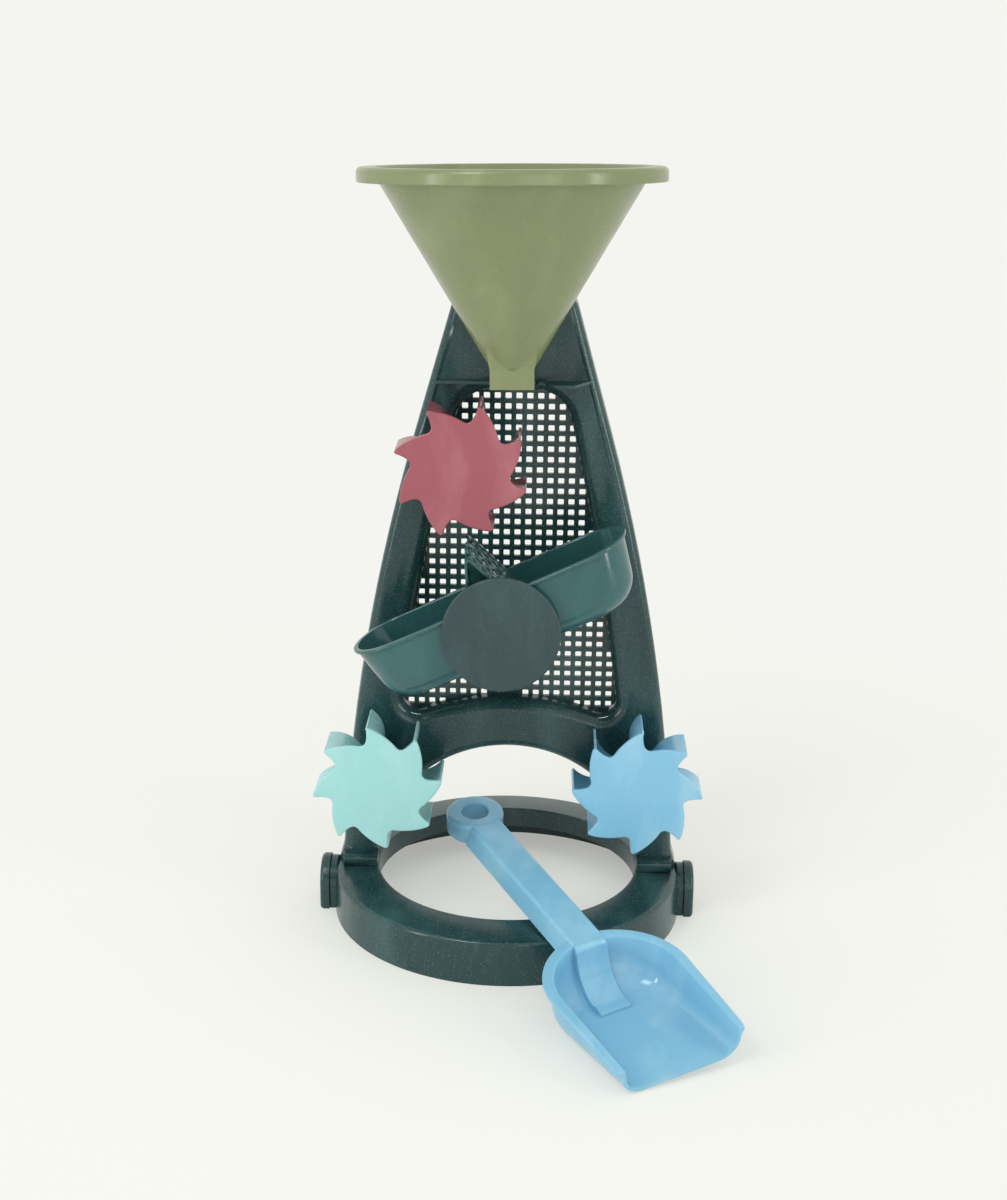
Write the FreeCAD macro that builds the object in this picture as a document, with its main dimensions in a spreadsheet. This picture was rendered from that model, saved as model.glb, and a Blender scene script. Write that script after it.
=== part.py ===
import FreeCAD, Part
import math
import os
import Sketcher

# A sand wheel toy: a tapering tower with a sieve stands on an open ring, a lift-off
# funnel feeds a star wheel, a tipping bucket and two lower star wheels, and a loose
# shovel leans on the ring. X runs to the right, Y away from the viewer, Z up, and
# the origin is the centre of the ring on the ground. Lengths are in millimetres.

# Driving dimensions, in millimetres and degrees
SIZES = {
    # Fits shared by the whole toy
    "overrun": 2.0,
    "seat_gap": 0.3,
    "run_gap": 0.08,
    # Base ring: an open-bottomed channel bent round a circle
    "ring_radius": 92.8,
    "ring_lip_radius": 92.1,
    "ring_lip_height": 23.3,
    "ring_inner_radius": 69.0,
    "ring_inner_height": 24.9,
    "ring_skirt": 11.1,
    "ring_wall": 2.8,
    "ring_lip_round": 2.2,
    "ring_edge_round": 0.9,
    # Side pads of the ring and the plugs that sit on them
    "pad_radius": 12.2,
    "pad_centre_height": 12.8,
    "pad_reach": 2.5,
    "plug_radius": 13.1,
    "plug_thickness": 5.0,
    "plug_round": 1.6,
    "plug_groove": 0.4,
    "peg_radius": 4.0,
    "peg_length": 14.0,
    # Tower frame: a deep tray, open at the back, on two feet
    "tower_front": 4.0,
    "tower_depth": 20.0,
    "tower_wall": 3.0,
    "tower_height": 332.0,
    "tower_top_half": 29.5,
    "tower_top_round": 10.0,
    "knee_half": 49.9,
    "knee_height": 260.3,
    "foot_half": 88.2,
    "ankle_half": 91.1,
    "ankle_height": 34.0,
    "flank_radius": 1040.0,
    "arch_radius": 70.0,
    "arch_centre_height": 22.0,
    "tower_edge_round": 5.0,
    "opening_low_half": 57.4,
    "opening_low_height": 105.4,
    "opening_top_half": 25.6,
    "opening_top_height": 283.0,
    "opening_flank_radius": 1350.0,
    "opening_floor_radius": 133.0,
    "opening_low_round": 8.0,
    "opening_top_round": 19.0,
    "opening_edge_round": 7.0,
    "recess_depth": 12.0,
    "gate_height": 104.7,
    "gate_radius": 1.0,
    "gate_depth": 0.4,
    "toe_reach": 6.7,
    "toe_height": 5.7,
    "toe_round": 2.5,
    "toe_inner": 69.5,
    "toe_outer": 88.4,
    "tenon_width": 12.0,
    "tenon_depth": 14.0,
    "tenon_length": 19.0,
    "tenon_offset": 80.0,
    # Shelf across the tower below the funnel, deeper on its right
    "shelf_height": 289.0,
    "shelf_thickness": 1.5,
    "shelf_half": 38.5,
    "shelf_left_reach": 6.5,
    "shelf_right_reach": 14.0,
    "shelf_step_start": 13.5,
    "shelf_step_end": 17.0,
    "shelf_slant_start": 30.0,
    "shelf_notch_gap": 0.7,
    # Sieve with square holes
    "sieve_thickness": 2.2,
    "sieve_pitch": 5.5,
    "sieve_hole": 3.1,
    "sieve_edge_inset": 0.7,
    "sieve_top_row": 278.5,
    "sieve_patch_radius": 9.0,
    "sieve_least_share": 0.4,
    "sieve_pad_x": -2.3,
    "sieve_pad_height": 137.4,
    "sieve_pad_radius": 18.0,
    # Funnel: a cone over a square spout
    "funnel_y": -18.4,
    "funnel_bottom": 288.0,
    "funnel_x": -0.4,
    "funnel_lean": 3.2,
    "funnel_side_lean": 0.9,
    "funnel_rim_radius": 74.4,
    "funnel_rim_low": 98.3,
    "funnel_rim_high": 105.4,
    "funnel_rim_round": 2.4,
    "funnel_rim_inner_round": 0.8,
    "funnel_cone_radius": 63.2,
    "funnel_cone_height": 97.0,
    "funnel_throat_radius": 11.0,
    "funnel_wall": 2.0,
    "spout_width": 21.6,
    "spout_height": 9.5,
    "spout_flare_width": 26.0,
    "spout_flare_height": 12.5,
    # Star wheels, three alike with the right one mirrored
    "wheel_radius": 34.6,
    "wheel_root_radius": 23.7,
    "wheel_tip_angle": 39.0,
    "wheel_long_flank": 36.0,
    "wheel_steep_flank": 18.0,
    "wheel_depth": 28.5,
    "wheel_plate": 1.6,
    "wheel_wall": 1.5,
    "wheel_overhang": 1.1,
    "wheel_tip_wall": 3.6,
    "wheel_tip_round": 1.2,
    "wheel_valley_round": 2.0,
    "wheel_back": 8.0,
    "hub_radius": 6.2,
    "hub_inset": 1.5,
    "upper_wheel_x": -25.0,
    "upper_wheel_height": 249.0,
    "upper_wheel_phase": 30.3,
    "lower_wheel_x": 67.0,
    "lower_wheel_height": 80.6,
    "left_wheel_phase": 9.8,
    "right_wheel_phase": -3.8,
    # Axles that snap into the hubs from behind, and the bosses that carry them
    "axle_radius": 3.0,
    "axle_head_radius": 6.0,
    "axle_head_thickness": 2.0,
    "axle_barb": 0.6,
    "axle_barb_length": 4.0,
    "axle_slot": 1.2,
    "axle_slot_length": 9.0,
    "hub_bore_depth": 20.0,
    "boss_radius": 7.0,
    "boss_back": 3.0,
    # Tipping bucket, its divider and its disc
    "bucket_x": -3.5,
    "bucket_height": 173.4,
    "bucket_rest_tilt": 25.4,
    "bucket_length": 147.0,
    "bucket_width": 43.5,
    "bucket_back": 12.5,
    "bucket_depth": 34.0,
    "bucket_rim_height": 17.5,
    "bucket_end_draft": 7.0,
    "bucket_bottom_round": 13.0,
    "bucket_wall": 1.8,
    "bucket_bead": 1.2,
    "bucket_bead_height": 2.0,
    "bucket_side_draft": 1.6,
    "bucket_hub_radius": 6.5,
    "divider_height": 42.2,
    "divider_half_angle": 21.5,
    "divider_wall": 1.6,
    "divider_round": 2.2,
    "divider_hole_radius": 1.75,
    "divider_hole_pitch": 5.6,
    "divider_solid_height": 21.0,
    "divider_margin": 4.0,
    "disc_radius": 29.2,
    "disc_thickness": 2.0,
    "disc_gap": 1.2,
    "disc_stub_radius": 2.8,
    "disc_stub_length": 8.0,
    # Shovel, laid with its scoop on the ground and its handle on the ring's lip
    "shovel_x": 84.15,
    "shovel_y": -174.3,
    "shovel_lift": 2.65,
    "shovel_turn": 29.5,
    "shovel_pitch": 9.2,
    "shovel_roll": 5.5,
    "shovel_wall": 2.0,
    "shovel_level": 15.0,
    "scoop_front_half": 26.5,
    "scoop_floor_half": 22.0,
    "scoop_floor_straight": 44.0,
    "scoop_rim_front_half": 29.5,
    "scoop_rim_half": 31.0,
    "scoop_rim_straight": 56.0,
    "scoop_bottom_round": 6.0,
    "flange_width": 6.0,
    "flange_thickness": 1.8,
    "handle_half": 8.6,
    "handle_low_half": 11.6,
    "handle_thickness": 9.5,
    "handle_round": 2.0,
    "handle_start": 83.0,
    "tongue_radius": 23.5,
    "tongue_foot": 57.0,
    "tongue_lift": 2.0,
    "eye_distance": 209.5,
    "eye_radius": 15.4,
    "eye_hole_radius": 7.4,
    "eye_height": 12.0,
    "eye_rise": 1.5,
    "eye_round": 2.6,
}

# Number of teeth on a star wheel and of rows of sieve holes
WHEEL_TEETH = 8
SIEVE_ROWS = 34

doc = FreeCAD.newDocument("SandWheelToy")
sheet = doc.addObject("Spreadsheet::Sheet", "Sizes")
for row, (alias, number) in enumerate(SIZES.items(), start=1):
    sheet.set("A%d" % row, alias)
    sheet.set("B%d" % row, str(number))
    sheet.setAlias("B%d" % row, alias)
doc.recompute()


class Size:
    """A length or angle: its expression in the sheet, and its number for the first drawing"""

    def __init__(self, text, value):
        self.text = text
        self.value = float(value)

    def __float__(self):
        return self.value

    def joined(self, other, sign, value):
        return Size("(%s %s %s)" % (self.text, sign, as_size(other).text), value)

    def __add__(self, other):
        return self.joined(other, "+", self.value + float(other))

    def __sub__(self, other):
        return self.joined(other, "-", self.value - float(other))

    def __mul__(self, other):
        return self.joined(other, "*", self.value * float(other))

    def __truediv__(self, other):
        return self.joined(other, "/", self.value / float(other))

    def __neg__(self):
        return Size("(-%s)" % self.text, -self.value)


def as_size(thing):
    return thing if isinstance(thing, Size) else Size(repr(float(thing)), thing)


def root(square):
    return Size("sqrt(%s)" % square.text, math.sqrt(square.value))


def polar(radius, angle):
    """The point at a radius and an angle in degrees, anticlockwise from x"""
    turn = math.radians(angle.value)
    across = Size("(%s * cos(%s))" % (radius.text, angle.text), float(radius) * math.cos(turn))
    along = Size("(%s * sin(%s))" % (radius.text, angle.text), float(radius) * math.sin(turn))
    return across, along


class Named:
    """Every driving dimension as an attribute, read back from the sheet"""


dim = Named()
for alias in SIZES:
    setattr(dim, alias, Size("Sizes." + alias, sheet.get(alias)))
ZERO = Size("0", 0)
X_AXIS = FreeCAD.Vector(1, 0, 0)
Y_AXIS = FreeCAD.Vector(0, 1, 0)
Z_AXIS = FreeCAD.Vector(0, 0, 1)
TOLERANCE = 1e-4


def bind(thing, prop, size):
    thing.setExpression(prop, as_size(size).text)


def new_body(label, x=ZERO, y=ZERO, z=ZERO):
    body = doc.addObject("PartDesign::Body", label)
    body.Label = label
    bind(body, "Placement.Base.x", x)
    bind(body, "Placement.Base.y", y)
    bind(body, "Placement.Base.z", z)
    return body


def sketch_on(body, role, offset=ZERO):
    sketch = body.newObject("Sketcher::SketchObject", body.Label + "_sketch")
    plane = [part for part in body.Origin.OriginFeatures if part.Role == role][0]
    sketch.AttachmentSupport = [(plane, "")]
    sketch.MapMode = "FlatFace"
    bind(sketch, "AttachmentOffset.Base.z", offset)
    return sketch


def fix_point(sketch, item, end, x, y):
    """Holds one point of the sketch at x, y from its origin"""
    for kind, axis, size in (("DistanceX", -2, x), ("DistanceY", -1, y)):
        if size is ZERO:
            sketch.addConstraint(Sketcher.Constraint("PointOnObject", item, end, axis))
        else:
            held = Sketcher.Constraint(kind, -1, 1, item, end, float(size))
            place = sketch.addConstraint(held)
            sketch.setExpression("Constraints[%d]" % place, size.text)


def fix_radius(sketch, item, radius):
    place = sketch.addConstraint(Sketcher.Constraint("Radius", item, float(radius)))
    sketch.setExpression("Constraints[%d]" % place, radius.text)


def arc_between(start, end, radius, turn):
    """The shorter arc from start to end; turn is 1 when it runs anticlockwise"""
    chord = end - start
    middle = (start + end) * 0.5
    across = FreeCAD.Vector(-chord.y, chord.x, 0).normalize() * turn
    rise = math.sqrt(max(radius ** 2 - (chord.Length / 2) ** 2, 0))
    centre = middle + across * rise
    first, last = (start, end) if turn > 0 else (end, start)
    angles = [math.atan2(p.y - centre.y, p.x - centre.x) for p in (first, last)]
    return Part.ArcOfCircle(Part.Circle(centre, FreeCAD.Vector(0, 0, 1), radius), *angles)


def tangent_points(corner, before, after, radius):
    """Where an arc of the radius touches two curves that meet at the corner, and its turn"""
    arriving = (corner - before.value(before.LastParameter - TOLERANCE)
                if before.value(before.LastParameter).distanceToPoint(corner) < TOLERANCE
                else corner - before.value(before.FirstParameter + TOLERANCE)).normalize()
    leaving = (after.value(after.FirstParameter + TOLERANCE) - corner
               if after.value(after.FirstParameter).distanceToPoint(corner) < TOLERANCE
               else after.value(after.LastParameter - TOLERANCE) - corner).normalize()
    curves = [before.toShape().Curve, after.toShape().Curve]
    inward = (leaving - arriving).normalize()
    centre = corner + inward * radius
    for _ in range(30):
        nearest = [curve.projectPoint(centre) for curve in curves]
        gaps = [centre - point for point in nearest]
        misses = [radius - gap.Length for gap in gaps]
        first, second = [gap.normalize() for gap in gaps]
        spread = first.x * second.y - first.y * second.x
        centre += FreeCAD.Vector(
            (misses[0] * second.y - misses[1] * first.y) / spread,
            (misses[1] * first.x - misses[0] * second.x) / spread, 0)
    nearest = [curve.projectPoint(centre) for curve in curves]
    turn = 1 if arriving.x * leaving.y - arriving.y * leaving.x > 0 else -1
    return nearest[0], nearest[1], turn


def segment(start, end, corner):
    if len(corner) == 2:
        return Part.LineSegment(start, end)
    return arc_between(start, end, float(corner[2]), corner[3])


def outline(sketch, corners, rounds=()):
    """Closes an outline through corners (x, y); (x, y, radius, turn) is reached by an arc

    rounds holds (corner number, radius) for the corners that are rounded.
    """
    points = [FreeCAD.Vector(float(c[0]), float(c[1]), 0) for c in corners]
    count = len(corners)
    rounds = dict(rounds)
    sharp = [segment(points[place - 1], points[place], corners[place])
             for place in range(count)]
    starts = [points[place - 1] for place in range(count)]
    ends = list(points)
    arcs = {}
    for place, radius in rounds.items():
        following = (place + 1) % count
        ends[place], starts[following], turn = tangent_points(
            points[place], sharp[place], sharp[following], float(radius))
        arcs[place] = arc_between(ends[place], starts[following], float(radius), turn), turn
    placed = []
    for place, corner in enumerate(corners):
        item = sketch.addGeometry(segment(starts[place], ends[place], corner))
        if len(corner) > 2:
            fix_radius(sketch, item, corner[2])
        forward = len(corner) == 2 or corner[3] > 0
        placed.append((item, 1, 2) if forward else (item, 2, 1))
    for place, corner in enumerate(corners):
        item, _, finish = placed[place]
        following, begin, _ = placed[(place + 1) % count]
        if place not in rounds:
            sketch.addConstraint(
                Sketcher.Constraint("Coincident", item, finish, following, begin))
            fix_point(sketch, item, finish, corner[0], corner[1])
            continue
        arc, turn = arcs[place]
        bend = sketch.addGeometry(arc)
        first, last = (1, 2) if turn > 0 else (2, 1)
        mark = sketch.addGeometry(Part.Point(points[place]), True)
        sketch.addConstraint([
            Sketcher.Constraint("Tangent", item, finish, bend, first),
            Sketcher.Constraint("Tangent", bend, last, following, begin),
            Sketcher.Constraint("PointOnObject", mark, 1, item),
            Sketcher.Constraint("PointOnObject", mark, 1, following)])
        fix_radius(sketch, bend, rounds[place])
        fix_point(sketch, mark, 1, corner[0], corner[1])


def ring_outline(sketch, radius, x=ZERO, y=ZERO):
    centre = FreeCAD.Vector(float(x), float(y), 0)
    circle = Part.Circle(centre, FreeCAD.Vector(0, 0, 1), float(radius))
    item = sketch.addGeometry(circle)
    fix_point(sketch, item, 3, x, y)
    fix_radius(sketch, item, radius)


def pad(body, sketch, length, backwards=False):
    feature = body.newObject("PartDesign::Pad", body.Label + "_pad")
    feature.Profile = (sketch, [""])
    bind(feature, "Length", length)
    feature.Reversed = backwards
    doc.recompute()
    return feature


def pocket(body, sketch, length, backwards=False):
    feature = body.newObject("PartDesign::Pocket", body.Label + "_pocket")
    feature.Profile = (sketch, [""])
    bind(feature, "Length", length)
    feature.Reversed = backwards
    before = body.Shape.Volume
    doc.recompute()
    if not feature.Shape.Volume < before:
        raise RuntimeError("a pocket of %s cuts nothing" % body.Label)
    return feature


def revolve(body, sketch, axis, cuts=False):
    kind = "PartDesign::Groove" if cuts else "PartDesign::Revolution"
    feature = body.newObject(kind, body.Label + "_turned")
    feature.Profile = (sketch, [""])
    feature.ReferenceAxis = (sketch, [axis])
    feature.Angle = 360
    doc.recompute()
    return feature


def round_edges(body, radius, wanted):
    """Fillets the edges of the body's latest feature that the test wants"""
    base = body.Tip
    found = []
    for place, edge in enumerate(base.Shape.Edges, start=1):
        if wanted(edge):
            found.append("Edge%d" % place)
    if not found:
        raise RuntimeError("no edge of %s is rounded" % body.Label)
    feature = body.newObject("PartDesign::Fillet", body.Label + "_round")
    feature.Base = (base, found)
    bind(feature, "Radius", radius)
    doc.recompute()
    return feature


def runs_along(edge, direction):
    """True for a straight edge that lies along the direction"""
    if not isinstance(edge.Curve, Part.Line):
        return False
    return abs(edge.Curve.Direction.dot(direction)) > 0.999


def lies_flat(low, high, level):
    """True where both ends of a measured range are at one level"""
    return abs(low - float(level)) + abs(high - float(level)) < TOLERANCE


def mirror_across(body, features, role):
    feature = body.newObject("PartDesign::Mirrored", body.Label + "_mirrored")
    feature.Originals = features
    plane = [part for part in body.Origin.OriginFeatures if part.Role == role][0]
    feature.MirrorPlane = (plane, [""])
    body.Tip = feature
    doc.recompute()
    return feature


# Base ring

def tombstone(sketch, radius, centre_height):
    """A half circle over straight sides that run down to the ground"""
    outline(sketch, [
        (-radius, ZERO),
        (radius, ZERO),
        (radius, centre_height),
        (ZERO, centre_height + radius, radius, 1),
        (-radius, centre_height, radius, 1)])


def make_base_ring():
    body = new_body("base_ring")
    section = sketch_on(body, "XZ_Plane")
    inner_wall = dim.ring_inner_radius + dim.ring_wall
    skirt_end = dim.ring_inner_height - dim.ring_skirt
    outline(section, [
        (dim.ring_radius, ZERO),
        (dim.ring_lip_radius, dim.ring_lip_height),
        (dim.ring_inner_radius, dim.ring_inner_height),
        (dim.ring_inner_radius, skirt_end),
        (inner_wall, skirt_end),
        (inner_wall, dim.ring_inner_height - dim.ring_wall),
        (dim.ring_lip_radius - dim.ring_wall, dim.ring_lip_height - dim.ring_wall),
        (dim.ring_radius - dim.ring_wall, ZERO)])
    revolve(body, section, "V_Axis")
    for level, radius in ((dim.ring_lip_height, dim.ring_lip_round),
                          (dim.ring_inner_height, dim.ring_edge_round)):
        round_edges(body, radius, lambda edge: lies_flat(
            edge.BoundBox.ZMin, edge.BoundBox.ZMax, level))

    pad_sketch = sketch_on(body, "YZ_Plane", dim.ring_radius - dim.ring_wall / 2)
    tombstone(pad_sketch, dim.pad_radius, dim.pad_centre_height)
    side_pad = pad(body, pad_sketch, dim.pad_reach + dim.ring_wall / 2)
    peg_sketch = sketch_on(body, "YZ_Plane", dim.tenon_offset)
    ring_outline(peg_sketch, dim.peg_radius + dim.seat_gap, ZERO, dim.pad_centre_height)
    peg_hole = pocket(body, peg_sketch, dim.ring_radius, True)
    mirror_across(body, [side_pad, peg_hole], "YZ_Plane")

    slot_sketch = sketch_on(body, "XY_Plane", skirt_end)
    half = dim.tenon_width / 2 + dim.seat_gap
    deep = dim.tenon_depth / 2 + dim.seat_gap
    for side in (1, -1):
        middle = dim.tenon_offset * side
        outline(slot_sketch, [
            (middle - half, -deep),
            (middle + half, -deep),
            (middle + half, deep),
            (middle - half, deep)])
    pocket(body, slot_sketch, dim.ring_skirt + dim.overrun, True)
    return body


# Plugs that lock the tower's feet, one on each side of the ring

def make_foot_plug(label, side):
    body = new_body(label)
    start = dim.ring_radius + dim.pad_reach + dim.plug_groove
    head_sketch = sketch_on(body, "YZ_Plane", start * side)
    tombstone(head_sketch, dim.plug_radius, dim.pad_centre_height)
    pad(body, head_sketch, dim.plug_thickness, side < 0)
    face = (start + dim.plug_thickness) * side
    round_edges(body, dim.plug_round, lambda edge: lies_flat(
        edge.BoundBox.XMin, edge.BoundBox.XMax, face))
    peg_sketch = sketch_on(body, "YZ_Plane", start * side)
    ring_outline(peg_sketch, dim.peg_radius, ZERO, dim.pad_centre_height)
    pad(body, peg_sketch, dim.peg_length, side > 0)
    return body


# Tower frame

def tower_corners(margin):
    """The tower's outline, or the same shape shrunk inwards by a margin"""
    foot = dim.ring_inner_height + margin
    slope = (dim.ring_inner_height - dim.ring_lip_height) / (
        dim.ring_lip_radius - dim.ring_inner_radius)
    low = foot - (dim.ankle_half - dim.ring_inner_radius) * slope
    arch = dim.arch_radius + margin
    drop = foot - dim.arch_centre_height
    arch_half = root(arch * arch - drop * drop)
    return [
        (-arch_half, foot),
        (arch_half, foot, arch, -1),
        (dim.ankle_half - margin, low),
        (dim.foot_half - margin, dim.ankle_height),
        (dim.knee_half - margin, dim.knee_height, dim.flank_radius, 1),
        (dim.tower_top_half - margin, dim.tower_height - margin),
        (-(dim.tower_top_half - margin), dim.tower_height - margin),
        (-(dim.knee_half - margin), dim.knee_height),
        (-(dim.foot_half - margin), dim.ankle_height, dim.flank_radius, 1),
        (-(dim.ankle_half - margin), low)]


def opening_corners(margin):
    """The sieve opening, or the same shape grown outwards by a margin"""
    low = dim.opening_low_half + margin
    low_height = dim.opening_low_height - margin
    top = dim.opening_top_half + margin
    top_height = dim.opening_top_height + margin
    return [
        (low, low_height, dim.opening_floor_radius, -1),
        (top, top_height, dim.opening_flank_radius, 1),
        (-top, top_height),
        (-low, low_height, dim.opening_flank_radius, 1)]


def opening_rounds(margin):
    low = dim.opening_low_round + margin
    top = dim.opening_top_round + margin
    return [(0, low), (1, top), (2, top), (3, low)]


def sketch_facing(body, offset):
    """A sketch square to Y, its offset measured from the body's origin towards the viewer"""
    return sketch_on(body, "XZ_Plane", offset)


def front_rims(body):
    """The tower's front face as its outer outline's edges and its opening's edges"""
    flat = [face for face in body.Tip.Shape.Faces if lies_flat(
        face.BoundBox.YMin, face.BoundBox.YMax, -dim.tower_front)]
    face = max(flat, key=lambda candidate: candidate.Area)
    outer = [edge for edge in face.OuterWire.Edges if edge.BoundBox.ZMax > float(
        dim.ring_inner_height) + TOLERANCE]
    inner = []
    for wire in face.Wires:
        if not wire.isSame(face.OuterWire):
            inner.extend(wire.Edges)
    return outer, inner


def among(edge, others):
    return any(edge.isSame(other) for other in others)


def shelf_outline(sketch):
    """The shelf seen from above, notched where the funnel's spout passes"""
    wall = -dim.tower_front + dim.tower_wall / 2
    left = -dim.tower_front - dim.shelf_left_reach
    right = -dim.tower_front - dim.shelf_right_reach
    step = (dim.shelf_step_end - dim.shelf_step_start)
    notch = dim.spout_width / 2 + dim.shelf_notch_gap
    back = dim.funnel_y + notch
    outline(sketch, [
        (-dim.shelf_half, wall),
        (-dim.shelf_half, left),
        (dim.funnel_x - notch, left),
        (dim.funnel_x - notch, back),
        (dim.funnel_x + notch, back),
        (dim.funnel_x + notch, left),
        (dim.shelf_step_start, left),
        (dim.shelf_step_end, left - step, step, -1),
        (dim.shelf_step_end + step, right),
        (dim.shelf_slant_start, right),
        (dim.shelf_half, -dim.tower_front),
        (dim.shelf_half, wall)])


def funnel_turn():
    """The funnel's lean, as one turn about a level axis"""
    axis = FreeCAD.Vector(float(dim.funnel_lean), float(dim.funnel_side_lean), 0)
    lean = dim.funnel_lean
    side = dim.funnel_side_lean
    return axis, -root(lean * lean + side * side)


def make_tower_frame():
    body = new_body("tower_frame")
    front = sketch_facing(body, dim.tower_front)
    top = dim.tower_top_round
    outline(front, tower_corners(ZERO), [(5, top), (6, top)])
    pad(body, front, dim.tower_depth, True)
    opening = sketch_facing(body, dim.tower_front)
    outline(opening, opening_corners(ZERO), opening_rounds(ZERO))
    pocket(body, opening, dim.tower_depth)
    outer, inner = front_rims(body)
    round_edges(body, dim.opening_edge_round, lambda edge: among(edge, inner))
    outer, inner = front_rims(body)
    round_edges(body, dim.tower_edge_round, lambda edge: among(edge, outer))

    # Hollow behind the front, leaving a wall round the opening for the sieve to sit on
    hollow = sketch_facing(body, dim.tower_front - dim.tower_wall)
    inner_top = top - dim.tower_wall
    outline(hollow, tower_corners(dim.tower_wall), [(5, inner_top), (6, inner_top)])
    outline(hollow, opening_corners(dim.tower_wall), opening_rounds(dim.tower_wall))
    pocket(body, hollow, dim.tower_depth)
    seat = sketch_facing(body, dim.tower_front - dim.recess_depth)
    margin = dim.tower_wall + dim.overrun
    outline(seat, opening_corners(margin), opening_rounds(margin))
    pocket(body, seat, dim.tower_depth)

    # Toe bars that lie on the ring in front of each foot
    toes = sketch_on(body, "XY_Plane", dim.ring_inner_height)
    toe_front = -dim.tower_front - dim.toe_reach
    toe_back = -dim.tower_front + dim.tower_wall
    for side in (1, -1):
        outline(toes, [
            (dim.toe_inner * side, toe_front),
            (dim.toe_outer * side, toe_front),
            (dim.toe_outer * side, toe_back),
            (dim.toe_inner * side, toe_back)])
    pad(body, toes, dim.toe_height)
    round_edges(body, dim.toe_round, lambda edge: lies_flat(
        edge.BoundBox.YMin, edge.BoundBox.YMax, toe_front) and (
        edge.CenterOfMass.z > float(dim.ring_inner_height) + TOLERANCE
        and (runs_along(edge, X_AXIS) or abs(edge.CenterOfMass.x) > float(dim.tenon_offset))))

    # Tenons that go down through the ring, each with a hole for the plug's peg
    tenons = sketch_on(body, "XY_Plane", dim.ring_inner_height + dim.tower_wall / 2)
    for side in (1, -1):
        outline(tenons, [
            (dim.tenon_offset * side - dim.tenon_width / 2, -dim.tenon_depth / 2),
            (dim.tenon_offset * side + dim.tenon_width / 2, -dim.tenon_depth / 2),
            (dim.tenon_offset * side + dim.tenon_width / 2, dim.tenon_depth / 2),
            (dim.tenon_offset * side - dim.tenon_width / 2, dim.tenon_depth / 2)])
    pad(body, tenons, dim.tenon_length + dim.tower_wall / 2, True)
    across = sketch_on(body, "YZ_Plane", -dim.ring_radius)
    ring_outline(across, dim.peg_radius + dim.seat_gap, ZERO, dim.pad_centre_height)
    pocket(body, across, dim.ring_radius * 2, True)

    # Shelf under the funnel, and the hollow that the funnel's cone rests in
    shelf = sketch_on(body, "XY_Plane", dim.shelf_height - dim.shelf_thickness)
    shelf_outline(shelf)
    pad(body, shelf, dim.shelf_thickness)
    seat = body.newObject("PartDesign::SubtractiveCone", "funnel_seat")
    plane = [part for part in body.Origin.OriginFeatures if part.Role == "XY_Plane"][0]
    seat.AttachmentSupport = [(plane, "")]
    seat.MapMode = "FlatFace"
    axis, angle = funnel_turn()
    seat.AttachmentOffset = FreeCAD.Placement(
        FreeCAD.Vector(), FreeCAD.Rotation(axis, float(angle)))
    bind(seat, "AttachmentOffset.Base.x", dim.funnel_x)
    bind(seat, "AttachmentOffset.Base.y", dim.funnel_y)
    bind(seat, "AttachmentOffset.Base.z", dim.funnel_bottom)
    bind(seat, "AttachmentOffset.Rotation.Angle", angle)
    slope = (dim.funnel_cone_radius - dim.funnel_throat_radius) / (
        dim.funnel_cone_height - dim.spout_height)
    start = dim.funnel_throat_radius - dim.spout_height * slope + dim.seat_gap
    bind(seat, "Radius1", start)
    bind(seat, "Radius2", start + dim.funnel_cone_height * slope)
    bind(seat, "Height", dim.funnel_cone_height)
    doc.recompute()

    # Bosses that carry the axles of the two lower wheels, and the round gate mark
    reach = dim.wheel_back + dim.hub_inset - dim.seat_gap - dim.tower_front
    places = [(dim.lower_wheel_x, dim.lower_wheel_height),
              (-dim.lower_wheel_x, dim.lower_wheel_height)]
    bosses = sketch_facing(body, dim.tower_front)
    for x, z in places:
        ring_outline(bosses, dim.boss_radius, x, z)
    pad(body, bosses, reach)
    back_bosses = sketch_facing(body, dim.tower_front - dim.tower_wall)
    for x, z in places:
        ring_outline(back_bosses, dim.boss_radius, x, z)
    pad(body, back_bosses, dim.boss_back, True)
    bores = sketch_facing(body, dim.tower_front + reach + dim.overrun)
    for x, z in places:
        ring_outline(bores, dim.axle_radius + dim.run_gap, x, z)
    pocket(body, bores, dim.tower_depth + reach)
    gate = sketch_facing(body, dim.tower_front)
    ring_outline(gate, dim.gate_radius, ZERO, dim.gate_height)
    pocket(body, gate, dim.gate_depth)
    return body


# Axles with a head behind the wall and a split, barbed tip inside the hub

def chamber_start():
    """Depth from the hub's back to the chamber that the barbs open into"""
    return dim.hub_bore_depth - dim.axle_barb_length - dim.seat_gap * 2


def bore_hub(body, hub_back):
    """A blind bore into a hub from behind, wider at its far end; hub_back is towards y"""
    mouth = sketch_facing(body, hub_back)
    ring_outline(mouth, dim.axle_radius + dim.run_gap)
    pocket(body, mouth, dim.hub_bore_depth, True)
    chamber = sketch_facing(body, hub_back + chamber_start())
    ring_outline(chamber, dim.axle_radius + dim.axle_barb + dim.seat_gap)
    pocket(body, chamber, dim.hub_bore_depth - chamber_start(), True)


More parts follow.
